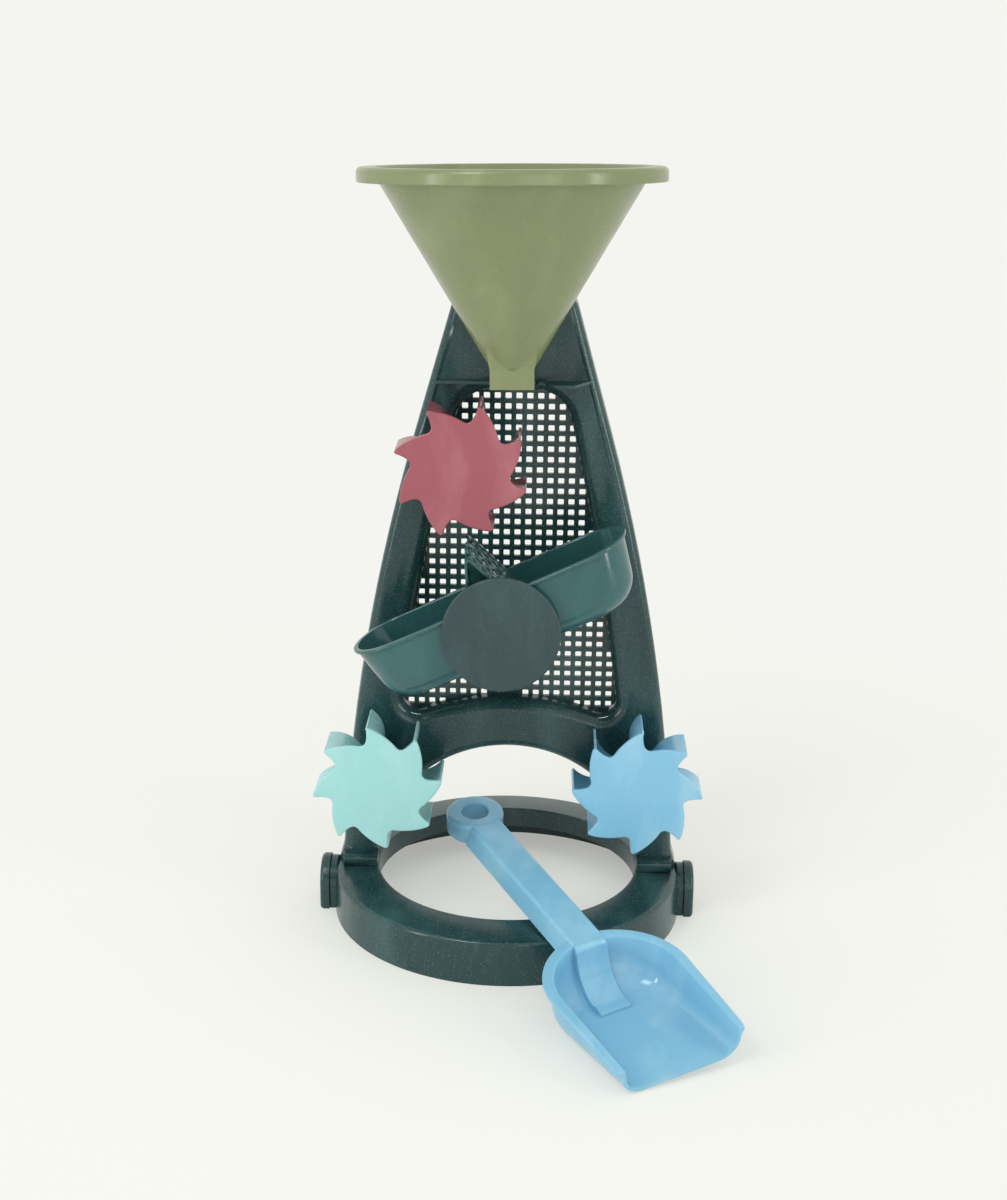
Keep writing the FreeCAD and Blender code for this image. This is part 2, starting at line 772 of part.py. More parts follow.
def make_axle(label, x, z, head_front, hub_back):
    """head_front and hub_back are how far those faces stand towards the viewer"""
    body = new_body(label, x, ZERO, z)
    head_end = -(head_front - dim.axle_head_thickness)
    barb = -(hub_back + chamber_start() + dim.seat_gap)
    tip = barb - dim.axle_barb_length
    section = sketch_on(body, "YZ_Plane")
    outline(section, [
        (head_end, ZERO),
        (head_end, dim.axle_head_radius),
        (-head_front, dim.axle_head_radius),
        (-head_front, dim.axle_radius),
        (barb, dim.axle_radius),
        (barb, dim.axle_radius + dim.axle_barb),
        (tip, dim.axle_radius - dim.axle_barb),
        (tip, ZERO)])
    revolve(body, section, "H_Axis")
    slot = sketch_on(body, "XY_Plane", dim.axle_head_radius)
    half = dim.axle_slot / 2
    outline(slot, [
        (-half, tip - dim.overrun),
        (half, tip - dim.overrun),
        (half, tip + dim.axle_slot_length),
        (-half, tip + dim.axle_slot_length)])
    pocket(body, slot, dim.axle_head_radius * 2)
    return body


# Sieve grille

def sieve_outline(margin, thickness):
    """The opening's rounded outline as a solid, grown by a margin"""
    body = new_body("sieve_plate")
    front = sketch_facing(body, dim.tower_front - dim.recess_depth)
    outline(front, opening_corners(margin), opening_rounds(margin))
    pad(body, front, thickness, True)
    return body


def front_face(shape):
    return min(shape.Faces, key=lambda face: face.CenterOfMass.y)


def sieve_holes(face, patches):
    """Square holes on a square pitch, clipped by the face and kept off the round patches"""
    y = face.CenterOfMass.y
    pitch = float(dim.sieve_pitch)
    side = float(dim.sieve_hole)
    columns = int(float(dim.opening_low_half) / pitch) + 1
    squares = []
    for row in range(SIEVE_ROWS):
        z = float(dim.sieve_top_row) - pitch * (row - 1)
        for column in range(-columns, columns):
            x = pitch * (column + 0.5)
            if any(math.hypot(x - px, z - pz) < reach + side / 2 for px, pz, reach in patches):
                continue
            corner = FreeCAD.Vector(x - side / 2, y, z - side / 2)
            squares.append(Part.makePlane(side, side, corner, Y_AXIS, Z_AXIS))
    clipped = face.common(Part.makeCompound(squares))
    least = float(dim.sieve_least_share) * side * side
    return [hole.OuterWire for hole in clipped.Faces if hole.Area > least]


def cylinder_to_viewer(radius, start, end, x, z):
    """A cylinder along Y from start to end, both measured towards the viewer"""
    return Part.makeCylinder(float(radius), float(end) - float(start),
                             FreeCAD.Vector(float(x), -float(start), float(z)), -Y_AXIS)


def make_sieve_grille():
    opening = sieve_outline(ZERO, dim.sieve_thickness)
    plate = sieve_outline(dim.tower_wall - dim.sieve_edge_inset, dim.sieve_thickness)
    upper = (dim.upper_wheel_x, dim.upper_wheel_height)
    lower = (dim.bucket_x, dim.bucket_height)
    patches = [(float(x), float(z), float(dim.sieve_patch_radius)) for x, z in (upper, lower)]
    patches.append((float(dim.sieve_pad_x), float(dim.sieve_pad_height),
                    float(dim.sieve_pad_radius)))
    holes = sieve_holes(front_face(opening.Shape), patches)
    face = Part.makeFace([front_face(plate.Shape).OuterWire] + holes, "Part::FaceMakerBullseye")
    shape = face.extrude(Y_AXIS * float(dim.sieve_thickness))
    front = dim.tower_front - dim.recess_depth
    back = front - dim.sieve_thickness
    end = back - dim.boss_back
    for place, hub_back in ((upper, dim.wheel_back + dim.hub_inset), (lower, dim.bucket_back)):
        reach = hub_back - dim.seat_gap
        shape = shape.fuse(cylinder_to_viewer(dim.boss_radius, end, reach, *place))
        shape = shape.cut(cylinder_to_viewer(dim.axle_radius + dim.run_gap, end - dim.overrun,
                                             reach + dim.overrun, *place))
    grille = doc.addObject("Part::Feature", "sieve_grille")
    grille.Label = "sieve_grille"
    grille.Shape = shape
    return grille


# Funnel

def make_funnel():
    body = new_body("funnel", dim.funnel_x, dim.funnel_y, dim.funnel_bottom)
    axis, angle = funnel_turn()
    body.Placement.Rotation = FreeCAD.Rotation(axis, float(angle))
    bind(body, "Placement.Rotation.Angle", angle)
    slope = (dim.funnel_cone_radius - dim.funnel_throat_radius) / (
        dim.funnel_cone_height - dim.spout_height)
    rise = dim.funnel_rim_high - dim.spout_height
    rim_top = dim.funnel_throat_radius + rise * slope
    under = dim.funnel_rim_high - dim.funnel_wall
    rim_under = rim_top - dim.funnel_wall * slope
    section = sketch_on(body, "XZ_Plane")
    outline(section, [
        (ZERO, dim.spout_height),
        (dim.funnel_throat_radius, dim.spout_height),
        (rim_under, under),
        (dim.funnel_rim_radius - dim.funnel_wall, under),
        (dim.funnel_rim_radius - dim.funnel_wall, dim.funnel_rim_low),
        (dim.funnel_rim_radius, dim.funnel_rim_low),
        (dim.funnel_rim_radius, dim.funnel_rim_high),
        (ZERO, dim.funnel_rim_high)])
    revolve(body, section, "V_Axis")
    round_edges(body, dim.funnel_rim_round, lambda edge: lies_flat(
        edge.BoundBox.ZMin, edge.BoundBox.ZMax, dim.funnel_rim_high))
    spout = sketch_on(body, "XY_Plane")
    square(spout, dim.spout_width / 2)
    pad(body, spout, dim.spout_height + dim.funnel_wall)
    low = sketch_on(body, "XY_Plane", dim.spout_height)
    square(low, dim.spout_width / 2)
    high = sketch_on(body, "XY_Plane", dim.spout_height + dim.spout_flare_height)
    square(high, dim.spout_flare_width / 2)
    flare = body.newObject("PartDesign::AdditiveLoft", "funnel_flare")
    flare.Profile = (low, [""])
    flare.Sections = [(high, [""])]
    doc.recompute()

    # Inside of the cone, and the square way out through the spout
    hollow = sketch_on(body, "XZ_Plane")
    thin = dim.funnel_wall
    outline(hollow, [
        (ZERO, dim.spout_height),
        (dim.funnel_throat_radius - thin, dim.spout_height),
        (rim_top - thin, dim.funnel_rim_high),
        (ZERO, dim.funnel_rim_high)])
    revolve(body, hollow, "V_Axis", True)
    way_out = sketch_on(body, "XY_Plane", -dim.overrun)
    square(way_out, dim.spout_width / 2 - thin)
    pocket(body, way_out, dim.spout_height * 2, True)
    round_edges(body, dim.funnel_rim_inner_round, lambda edge: lies_flat(
        edge.BoundBox.ZMin, edge.BoundBox.ZMax, dim.funnel_rim_high) and (
        abs(edge.BoundBox.XMax - float(rim_top - thin)) < TOLERANCE))
    return body


def square(sketch, half):
    outline(sketch, [(-half, -half), (half, -half), (half, half), (-half, half)])


# Star wheels

def star_corners(tip, valley):
    """Eight hooked teeth round the origin"""
    corners = []
    for tooth in range(WHEEL_TEETH):
        start = as_size(360 * tooth / WHEEL_TEETH)
        corners.append((*polar(valley, start), dim.wheel_steep_flank, -1))
        corners.append((*polar(tip, dim.wheel_tip_angle + start), dim.wheel_long_flank, 1))
    return corners


def star_rounds(tip, valley):
    rounds = []
    for tooth in range(WHEEL_TEETH):
        rounds.append((2 * tooth, valley))
        rounds.append((2 * tooth + 1, tip))
    return rounds


def place_wheel(wheel, x, z, phase, flip):
    """Puts a wheel at its axle and turns it until a tooth's tip points along its phase"""
    held = dim.wheel_tip_angle * flip + (180 if flip < 0 else 0)
    turn = held - phase
    wheel.Placement = FreeCAD.Placement(
        FreeCAD.Vector(), FreeCAD.Rotation(Y_AXIS, float(turn)))
    bind(wheel, "Placement.Base.x", x)
    bind(wheel, "Placement.Base.y", -dim.wheel_back)
    bind(wheel, "Placement.Base.z", z)
    bind(wheel, "Placement.Rotation.Angle", turn)
    doc.recompute()


def make_wheel(label, x, z, phase):
    body = new_body(label)
    corner_rounds = star_rounds(dim.wheel_tip_round, dim.wheel_valley_round)
    overhang = dim.wheel_overhang
    inside = dim.wheel_depth - dim.wheel_plate
    vanes = sketch_facing(body, ZERO)
    outline(vanes, star_corners(dim.wheel_radius - overhang,
                                dim.wheel_root_radius - overhang), corner_rounds)
    pad(body, vanes, inside)
    plate = sketch_facing(body, inside)
    outline(plate, star_corners(dim.wheel_radius, dim.wheel_root_radius), corner_rounds)
    pad(body, plate, dim.wheel_plate)
    hollow = sketch_facing(body, ZERO)
    outline(hollow, star_corners(dim.wheel_radius - dim.wheel_tip_wall,
                                 dim.wheel_root_radius - overhang - dim.wheel_wall),
            star_rounds(dim.wheel_tip_round / 2, dim.wheel_valley_round))
    pocket(body, hollow, inside, True)
    hub = sketch_facing(body, dim.hub_inset)
    ring_outline(hub, dim.hub_radius)
    pad(body, hub, inside - dim.hub_inset + dim.wheel_plate / 2)
    bore_hub(body, dim.hub_inset)
    place_wheel(body, x, z, phase, 1)
    return body


def repeat_wheel(label, wheel, x, z, phase, flip):
    """The same wheel again at another axle, mirrored where flip is -1"""
    shape = wheel.Shape.copy()
    shape.Placement = FreeCAD.Placement()
    if flip < 0:
        shape = shape.mirror(FreeCAD.Vector(), X_AXIS)
    again = doc.addObject("Part::Feature", label)
    again.Label = label
    again.Shape = shape
    place_wheel(again, x, z, phase, flip)
    return again


# Tipping bucket

def stadium(sketch, half_length, radius, middle):
    """A slot outline with round ends, along x, its middle at a distance along y"""
    straight = half_length - radius
    outline(sketch, [
        (-straight, middle - radius, radius, 1),
        (straight, middle - radius),
        (half_length, middle, radius, 1),
        (straight, middle + radius, radius, 1),
        (-straight, middle + radius),
        (-half_length, middle, radius, 1)])


def trough_loft(body, kind, top_level, floor_level, inset):
    """Two slot outlines joined, the upper one longer; inset shrinks both"""
    middle = -dim.bucket_width / 2
    top = sketch_on(body, "XY_Plane", top_level)
    stadium(top, dim.bucket_length / 2 - inset, dim.bucket_width / 2 - inset, middle)
    floor = sketch_on(body, "XY_Plane", floor_level)
    stadium(floor, dim.bucket_length / 2 - dim.bucket_end_draft - inset,
            dim.bucket_width / 2 - dim.bucket_side_draft - inset, middle)
    loft = body.newObject(kind, "bucket_loft")
    loft.Profile = (top, [""])
    loft.Sections = [(floor, [""])]
    doc.recompute()
    return loft


def place_on_pivot(body):
    body.Placement.Rotation = FreeCAD.Rotation(Y_AXIS, -float(dim.bucket_rest_tilt))
    bind(body, "Placement.Rotation.Angle", -dim.bucket_rest_tilt)


def trough_room(label, gap):
    """The trough's inside less a gap, carried on upwards past its rim"""
    body = new_body(label)
    top = dim.bucket_rim_height
    floor = top - dim.bucket_depth + dim.bucket_wall + gap
    inset = dim.bucket_wall + gap
    trough_loft(body, "PartDesign::AdditiveLoft", top, floor, inset)
    round_edges(body, dim.bucket_bottom_round - dim.bucket_wall, lambda edge: lies_flat(
        edge.BoundBox.ZMin, edge.BoundBox.ZMax, floor))
    above = sketch_on(body, "XY_Plane", top)
    stadium(above, dim.bucket_length / 2 - inset, dim.bucket_width / 2 - inset,
            -dim.bucket_width / 2)
    pad(body, above, dim.divider_height)
    return body


def hub_front():
    """How far the bucket's hub reaches towards the viewer, up to the disc"""
    return dim.bucket_width + dim.bucket_bead + dim.disc_gap


def make_tipping_bucket():
    body = new_body("tipping_bucket", dim.bucket_x, -dim.bucket_back, dim.bucket_height)
    place_on_pivot(body)
    top = dim.bucket_rim_height
    floor = dim.bucket_rim_height - dim.bucket_depth
    trough_loft(body, "PartDesign::AdditiveLoft", top, floor, ZERO)
    round_edges(body, dim.bucket_bottom_round, lambda edge: lies_flat(
        edge.BoundBox.ZMin, edge.BoundBox.ZMax, floor))
    bead = sketch_on(body, "XY_Plane", top - dim.bucket_bead_height)
    stadium(bead, dim.bucket_length / 2 + dim.bucket_bead,
            dim.bucket_width / 2 + dim.bucket_bead, -dim.bucket_width / 2)
    pad(body, bead, dim.bucket_bead_height)
    room = trough_room("bucket_room", ZERO)
    hollow = body.newObject("PartDesign::Boolean", "bucket_hollow")
    hollow.setObjects([room])
    hollow.Type = "Cut"
    doc.recompute()
    hub = sketch_facing(body, ZERO)
    ring_outline(hub, dim.bucket_hub_radius)
    pad(body, hub, hub_front())
    bore_hub(body, ZERO)
    stub_hole = sketch_facing(body, hub_front())
    ring_outline(stub_hole, dim.disc_stub_radius + dim.seat_gap / 2)
    pocket(body, stub_hole, dim.disc_stub_length + dim.seat_gap)
    return body


def make_bucket_divider(bucket):
    """An inverted V whose legs stand on the trough's floor, clipped by the trough's inside"""
    half = math.radians(float(dim.divider_half_angle))
    wall = float(dim.divider_wall)
    apex = float(dim.divider_height)
    floor = float(dim.bucket_rim_height) - float(dim.bucket_depth) + float(dim.bucket_wall)
    depth = float(dim.bucket_width)

    def vee(drop):
        width = (apex - drop - floor) * math.tan(half)
        points = [FreeCAD.Vector(x, 0, z) for x, z in (
            (-width, floor), (0, apex - drop), (width, floor), (-width, floor))]
        return Part.Face(Part.makePolygon(points)).extrude(Y_AXIS * -depth)

    def ridge(solid, radius):
        top = [edge for edge in solid.Edges if abs(edge.CenterOfMass.x) < TOLERANCE
               and edge.CenterOfMass.z > 0 and runs_along(edge, Y_AXIS)]
        return solid.makeFillet(radius, top)

    shape = ridge(vee(0), float(dim.divider_round))
    shape = shape.cut(ridge(vee(wall / math.sin(half)), float(dim.divider_round) - wall))
    pitch = float(dim.divider_hole_pitch)
    rows = int((apex - float(dim.divider_solid_height)) / math.cos(half) / pitch)
    columns = int((depth / 2 - float(dim.divider_margin)) / pitch)
    for side in (1, -1):
        down = FreeCAD.Vector(math.sin(half) * side, 0, -math.cos(half))
        out = FreeCAD.Vector(math.cos(half) * side, 0, math.sin(half))
        for row in range(1, rows + 1):
            for column in range(-columns, columns + 1):
                middle = FreeCAD.Vector(0, -depth / 2 + column * pitch, apex)
                start = middle + down * (row * pitch) - out * (2 * wall)
                drill = Part.makeCylinder(float(dim.divider_hole_radius), 3 * wall, start, out)
                shape = shape.cut(drill)
    shape = shape.common(trough_room("divider_room", dim.seat_gap).Shape)
    divider = doc.addObject("Part::Feature", "bucket_divider")
    divider.Label = "bucket_divider"
    divider.Shape = shape
    divider.Placement = bucket.Placement
    return divider


def make_bucket_disc():
    body = new_body("bucket_disc", dim.bucket_x, -dim.bucket_back, dim.bucket_height)
    place_on_pivot(body)
    disc = sketch_facing(body, hub_front())
    ring_outline(disc, dim.disc_radius)
    pad(body, disc, dim.disc_thickness)
    stub = sketch_facing(body, hub_front() + dim.disc_thickness / 2)
    ring_outline(stub, dim.disc_stub_radius)
    pad(body, stub, dim.disc_stub_length + dim.disc_thickness / 2, True)
    return body


# Shovel, drawn level with x across and y from its front edge to its handle

def scoop_wire(front_half, half, straight, start, height):
    """Straight sides and a half-round back; height gives z at each distance along y"""
    def at(x, y):
        return FreeCAD.Vector(x, y, height(y))

    back = Part.Arc(at(-half, straight), at(0, straight + half), at(half, straight))
    return Part.Wire([
        Part.makeLine(at(front_half, start), at(-front_half, start)),
        Part.makeLine(at(-front_half, start), at(-half, straight)),
        back.toShape(),
        Part.makeLine(at(half, straight), at(front_half, start))])


def scoop_hull(inset, start, floor_rise, top):
    """The scoop as a solid from its sloping floor up to a level; inset shrinks its sides"""
    drop = math.tan(math.radians(float(dim.shovel_pitch)))
    low = scoop_wire(float(dim.scoop_front_half) - inset, float(dim.scoop_floor_half) - inset,
                     float(dim.scoop_floor_straight), start,
                     lambda y: floor_rise - y * drop)
    high = scoop_wire(float(dim.scoop_rim_front_half) - inset,
                      float(dim.scoop_rim_half) - inset,
                      float(dim.scoop_rim_straight), start, lambda y: top)
    solid = Part.makeLoft([low, high], True, True)
    bottom = [edge for edge in solid.Edges if not runs_along(edge, X_AXIS) and all(
        abs(end.Point.z - floor_rise + end.Point.y * drop) < 0.01 for end in edge.Vertexes)]
    return solid.makeFillet(float(dim.scoop_bottom_round) - inset, bottom)


def tongue_block():
    """The handle's end, which drops into the scoop and sweeps out along its floor"""
    drop = math.tan(math.radians(float(dim.shovel_pitch)))
    level = float(dim.shovel_level)
    wall = float(dim.shovel_wall)
    knee = FreeCAD.Vector(0, float(dim.handle_start), level)
    foot_y = float(dim.tongue_foot)
    foot = FreeCAD.Vector(0, foot_y, wall + float(dim.tongue_lift) - foot_y * drop)
    base = FreeCAD.Vector(0, foot_y, -foot_y * drop)
    far = float(dim.scoop_rim_straight) + float(dim.scoop_rim_half)
    chord = knee - foot
    sag = float(dim.tongue_radius) - math.sqrt(
        float(dim.tongue_radius) ** 2 - (chord.Length / 2) ** 2)
    inward = chord.cross(X_AXIS).normalize()
    middle = (knee + foot) * 0.5 + inward * sag
    edges = [Part.Arc(foot, middle, knee).toShape(),
             Part.makeLine(knee, FreeCAD.Vector(0, far, level)),
             Part.makeLine(FreeCAD.Vector(0, far, level), FreeCAD.Vector(0, far, base.z)),
             Part.makeLine(FreeCAD.Vector(0, far, base.z), base),
             Part.makeLine(base, foot)]
    half = float(dim.handle_half)
    block = Part.Face(Part.Wire(edges)).extrude(X_AXIS * (2 * half))
    block.translate(X_AXIS * -half)
    upper = [edge for edge in block.Edges if edge.BoundBox.ZMax > level - TOLERANCE
             and edge.BoundBox.YMin < far - TOLERANCE]
    return block.makeFillet(float(dim.handle_round), upper)


def handle_bar(inset, start, end, low):
    """The handle's tapered section drawn out along y, from a low level to the top"""
    top = float(dim.shovel_level) - inset
    points = [FreeCAD.Vector(x, start, z) for x, z in (
        (-float(dim.handle_low_half) + inset, low),
        (-float(dim.handle_half) + inset, top),
        (float(dim.handle_half) - inset, top),
        (float(dim.handle_low_half) - inset, low),
        (-float(dim.handle_low_half) + inset, low))]
    return Part.Face(Part.makePolygon(points)).extrude(Y_AXIS * (end - start))


def make_shovel():
    level = float(dim.shovel_level)
    wall = float(dim.shovel_wall)
    over = float(dim.overrun)
    reach = float(dim.flange_width)
    outside = scoop_hull(0, 0, 0, level)
    inside = scoop_hull(wall, -over, wall, level + over)
    flange = Part.Face(scoop_wire(
        float(dim.scoop_rim_front_half) + reach, float(dim.scoop_rim_half) + reach,
        float(dim.scoop_rim_straight), 0, lambda y: level)).extrude(
            Z_AXIS * -float(dim.flange_thickness))
    corners = [edge for edge in flange.Edges
               if runs_along(edge, Z_AXIS) and abs(edge.CenterOfMass.y) < TOLERANCE]
    flange = flange.makeFillet(float(dim.flange_thickness), corners)
    back = float(dim.scoop_rim_straight) + float(dim.scoop_rim_half)
    eye_y = float(dim.eye_distance)
    low = level - float(dim.handle_thickness)
    bar = handle_bar(0, back - wall / 2, eye_y, low)
    top_edges = [edge for edge in bar.Edges
                 if runs_along(edge, Y_AXIS) and edge.CenterOfMass.z > level - TOLERANCE]
    bar = bar.makeFillet(float(dim.handle_round), top_edges)
    groove = handle_bar(wall, back + reach, eye_y - float(dim.eye_radius), low)
    eye_low = level + float(dim.eye_rise) - float(dim.eye_height)
    eye = Part.makeCylinder(float(dim.eye_radius), float(dim.eye_height),
                            FreeCAD.Vector(0, eye_y, eye_low))
    rims = [edge for edge in eye.Edges if lies_flat(
        edge.BoundBox.ZMin, edge.BoundBox.ZMax, edge.CenterOfMass.z)]
    eye = eye.makeFillet(float(dim.eye_round), rims)
    hole = Part.makeCylinder(float(dim.eye_hole_radius), float(dim.eye_height) + 2 * over,
                             FreeCAD.Vector(0, eye_y, eye_low - over))
    shape = outside.fuse(flange)
    shape = shape.fuse(bar.cut(groove))
    shape = shape.cut(inside.cut(tongue_block()))
    shape = shape.fuse(eye).cut(hole).removeSplitter()
    shovel = doc.addObject("Part::Feature", "shovel")
    shovel.Label = "shovel"
    shovel.Shape = shape
    turned = FreeCAD.Rotation(Z_AXIS, float(dim.shovel_turn))
    pitched = FreeCAD.Rotation(X_AXIS, float(dim.shovel_pitch))
    rolled = FreeCAD.Rotation(Y_AXIS, -float(dim.shovel_roll))
    place = FreeCAD.Vector(float(dim.shovel_x), float(dim.shovel_y), float(dim.shovel_lift))
    shovel.Placement = FreeCAD.Placement(place, turned * pitched * rolled)
    return shovel


# Every piece, from the ring upwards and the loose shovel last

lower = dim.lower_wheel_x, dim.lower_wheel_height
stand_head = dim.tower_front - dim.tower_wall - dim.boss_back
sieve_head = dim.tower_front - dim.recess_depth - dim.sieve_thickness - dim.boss_back
wheel_hub = dim.wheel_back + dim.hub_inset
wheel = make_wheel("upper_wheel", dim.upper_wheel_x, dim.upper_wheel_height,
                   dim.upper_wheel_phase)
bucket = make_tipping_bucket()
PIECES = [
    make_base_ring(),
    make_foot_plug("left_foot_plug", -1),
    make_foot_plug("right_foot_plug", 1),
    make_tower_frame(),
    make_sieve_grille(),
    make_funnel(),
    wheel,
    repeat_wheel("left_wheel", wheel, -lower[0], lower[1], dim.left_wheel_phase, 1),
    repeat_wheel("right_wheel", wheel, lower[0], lower[1], dim.right_wheel_phase, -1),
    make_axle("upper_axle", dim.upper_wheel_x, dim.upper_wheel_height, sieve_head, wheel_hub),
    make_axle("left_axle", -lower[0], lower[1], stand_head, wheel_hub),
    make_axle("right_axle", lower[0], lower[1], stand_head, wheel_hub),
    make_axle("bucket_axle", dim.bucket_x, dim.bucket_height, sieve_head, dim.bucket_back),
    bucket,
    make_bucket_divider(bucket),
    make_bucket_disc(),
    make_shovel(),
]

doc.recompute()
for thing in doc.Objects:
    if "Invalid" in thing.State or "Error" in thing.State:
        raise RuntimeError("%s didn't compute: %s" % (thing.Label, thing.State))
for piece in PIECES:
    if piece.Shape.isNull() or not piece.Shape.isValid():
        raise RuntimeError("%s has no valid shape" % piece.Label)
os.makedirs("parts", exist_ok=True)
for piece in PIECES:
    piece.Shape.exportStep("parts/%s.step" % piece.Label)
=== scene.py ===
import math

import bmesh
import bpy
from mathutils import Matrix, Vector


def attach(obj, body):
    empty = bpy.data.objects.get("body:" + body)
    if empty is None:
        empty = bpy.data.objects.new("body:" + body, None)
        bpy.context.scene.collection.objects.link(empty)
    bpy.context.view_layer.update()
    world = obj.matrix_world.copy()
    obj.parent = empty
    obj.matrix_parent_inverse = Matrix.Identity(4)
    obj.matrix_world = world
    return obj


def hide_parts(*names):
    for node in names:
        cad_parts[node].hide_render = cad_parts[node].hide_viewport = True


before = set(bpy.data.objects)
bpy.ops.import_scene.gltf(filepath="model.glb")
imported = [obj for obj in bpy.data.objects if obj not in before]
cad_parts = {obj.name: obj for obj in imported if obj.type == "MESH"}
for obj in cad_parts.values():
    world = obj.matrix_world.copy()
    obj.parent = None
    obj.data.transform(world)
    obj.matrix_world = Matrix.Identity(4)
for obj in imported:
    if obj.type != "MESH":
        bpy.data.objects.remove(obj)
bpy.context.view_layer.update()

# Base ring. An open-bottomed channel bent round a circle, injection moulded in dark green
# polypropylene, with a flat pad on each side where a plug goes in. The toy stands on it.

SHARP_ANGLE = math.radians(34)
MICRON = 1e-6
SPECK_COLOUR = "#B9C6C0"
SPECK_SPACING_MM = 0.9
GRAIN_MM = 0.8
WEAR_MM = 14
RING_FOOT_RADIUS = 92.8
RING_SHOULDER_RADIUS = 92.1
RING_SHOULDER_HEIGHT = 23.3
RING_OPENING_RADIUS = 69.0
RING_BROW_HEIGHT = 24.9
RING_SKIRT_HEIGHT = 13.8
RING_WALL = 2.8
RING_ROOF = 3.0
RING_CORNERS = {0: 0.5, 1: 2.2, 2: 0.9, 3: 0.5, 4: 0.5}
PEG_HEIGHT = 12.8
PAD_RADIUS = 12.2
PAD_ROOT = 91.4
PAD_THICKNESS = 3.9


def linear(code):
    """The linear colour that a shader reads, from an sRGB hex value"""
    parts = [int(code[place:place + 2], 16) / 255 for place in (1, 3, 5)]
    return [part / 12.92 if part <= 0.04045 else ((part + 0.055) / 1.055) ** 2.4
            for part in parts] + [1.0]


def add_node(tree, kind, inputs, **settings):
    """A node with its settings; each input is a value or the output that feeds it"""
    node = tree.nodes.new(kind)
    for name, value in settings.items():
        setattr(node, name, value)
    for name, value in inputs.items():
        if isinstance(value, bpy.types.NodeSocket):
            tree.links.new(value, node.inputs[name])
        else:
            node.inputs[name].default_value = value
    return node


def moulded(name, colour, pale, flow_mm, flow_and_sheen_share, speck_share, rough, ripple_mm, ripple_um):
    """Injection moulded polypropylene: paler streaks in the colour, partly real flow marks and
    partly a painted highlight standing in for wavy reflections in the glossy skin, fine specks
    of unmixed pigment, and a skin that ripples very slightly as it shrinks in the mould"""
    finish = bpy.data.materials.new(name)
    finish.use_nodes = True
    tree = finish.node_tree
    tree.nodes.clear()
    place = add_node(tree, "ShaderNodeTexCoord", {}).outputs["Object"]
    curl = add_node(tree, "ShaderNodeTexNoise", {
        "Vector": place, "Scale": 500 / flow_mm, "Detail": 2.0})
    bend = add_node(tree, "ShaderNodeVectorMath", {
        0: curl.outputs["Color"], 1: (flow_mm / 1000,) * 3, 2: place}, operation="MULTIPLY_ADD")
    drawn = add_node(tree, "ShaderNodeMapping", {
        "Vector": bend.outputs[0], "Rotation": (0.3, 0.5, 0.2), "Scale": (1.0, 0.6, 0.3)})
    flow = add_node(tree, "ShaderNodeTexNoise", {
        "Vector": drawn.outputs[0], "Scale": 1000 / flow_mm, "Detail": 6.0, "Roughness": 0.6})
    # The paler streaks are partly real flow marks and partly a painted highlight, standing in
    # for the wavy reflections of glossy moulded plastic
    flow_and_sheen_streak = add_node(tree, "ShaderNodeMapRange", {
        "Value": flow.outputs[0], "From Min": 0.48, "From Max": 0.72, "To Max": flow_and_sheen_share})
    body = add_node(tree, "ShaderNodeMix", {
        0: flow_and_sheen_streak.outputs[0], 6: linear(colour), 7: linear(pale)}, data_type="RGBA")
    # The real specks are about 0.2 mm, and are drawn twice as coarse to show
    grains = add_node(tree, "ShaderNodeTexVoronoi", {
        "Vector": place, "Scale": 1000 / SPECK_SPACING_MM})
    core = add_node(tree, "ShaderNodeMapRange", {
        "Value": grains.outputs["Distance"], "From Min": 0.34, "From Max": 0.1})
    chosen = add_node(tree, "ShaderNodeMapRange", {
        "Value": grains.outputs["Color"], "From Min": 0.35, "From Max": 0.8,
        "To Max": speck_share})
    speck = add_node(tree, "ShaderNodeMath", {
        0: core.outputs[0], 1: chosen.outputs[0]}, operation="MULTIPLY")
    tinted = add_node(tree, "ShaderNodeMix", {
        0: speck.outputs[0], 6: body.outputs[2], 7: linear(SPECK_COLOUR)}, data_type="RGBA")
    wear = add_node(tree, "ShaderNodeTexNoise", {
        "Vector": place, "Scale": 1000 / WEAR_MM, "Detail": 5.0})
    gloss = add_node(tree, "ShaderNodeMapRange", {
        "Value": wear.outputs[0], "From Min": 0.3, "From Max": 0.7,
        "To Min": rough - 0.05, "To Max": rough + 0.07})
    ripple = add_node(tree, "ShaderNodeTexNoise", {
        "Vector": bend.outputs[0], "Scale": 1000 / ripple_mm, "Detail": 1.0})
    wave = add_node(tree, "ShaderNodeBump", {
        "Height": ripple.outputs[0], "Distance": ripple_um * MICRON, "Strength": 1.0})
    # A rougher skin has a deeper grain, of 40 microns where it is fully rough
    grain = add_node(tree, "ShaderNodeTexNoise", {
        "Vector": place, "Scale": 1000 / GRAIN_MM, "Detail": 2.0})
    skin = add_node(tree, "ShaderNodeBump", {
        "Height": grain.outputs[0], "Distance": rough * 40 * MICRON, "Strength": 1.0,
        "Normal": wave.outputs[0]})
    shader = add_node(tree, "ShaderNodeBsdfPrincipled", {
        "Base Color": tinted.outputs[2], "Roughness": gloss.outputs[0], "IOR": 1.49,
        "Normal": skin.outputs[0]})
    add_node(tree, "ShaderNodeOutputMaterial", {"Surface": shader.outputs[0]})
    return finish


def softened(points, corners, steps=6):
    """A closed outline with a rounded corner at each place in corners {place: cut back}"""
    made = []
    count = len(points)
    for place, point in enumerate(points):
        if place not in corners:
            made.append(point)
            continue
        cut = corners[place]
        before = point + (points[place - 1] - point).normalized() * cut
        after = point + (points[(place + 1) % count] - point).normalized() * cut
        for step in range(steps + 1):
            t = step / steps
            made.append(before * (1 - t) ** 2 + point * 2 * t * (1 - t) + after * t * t)
    return made


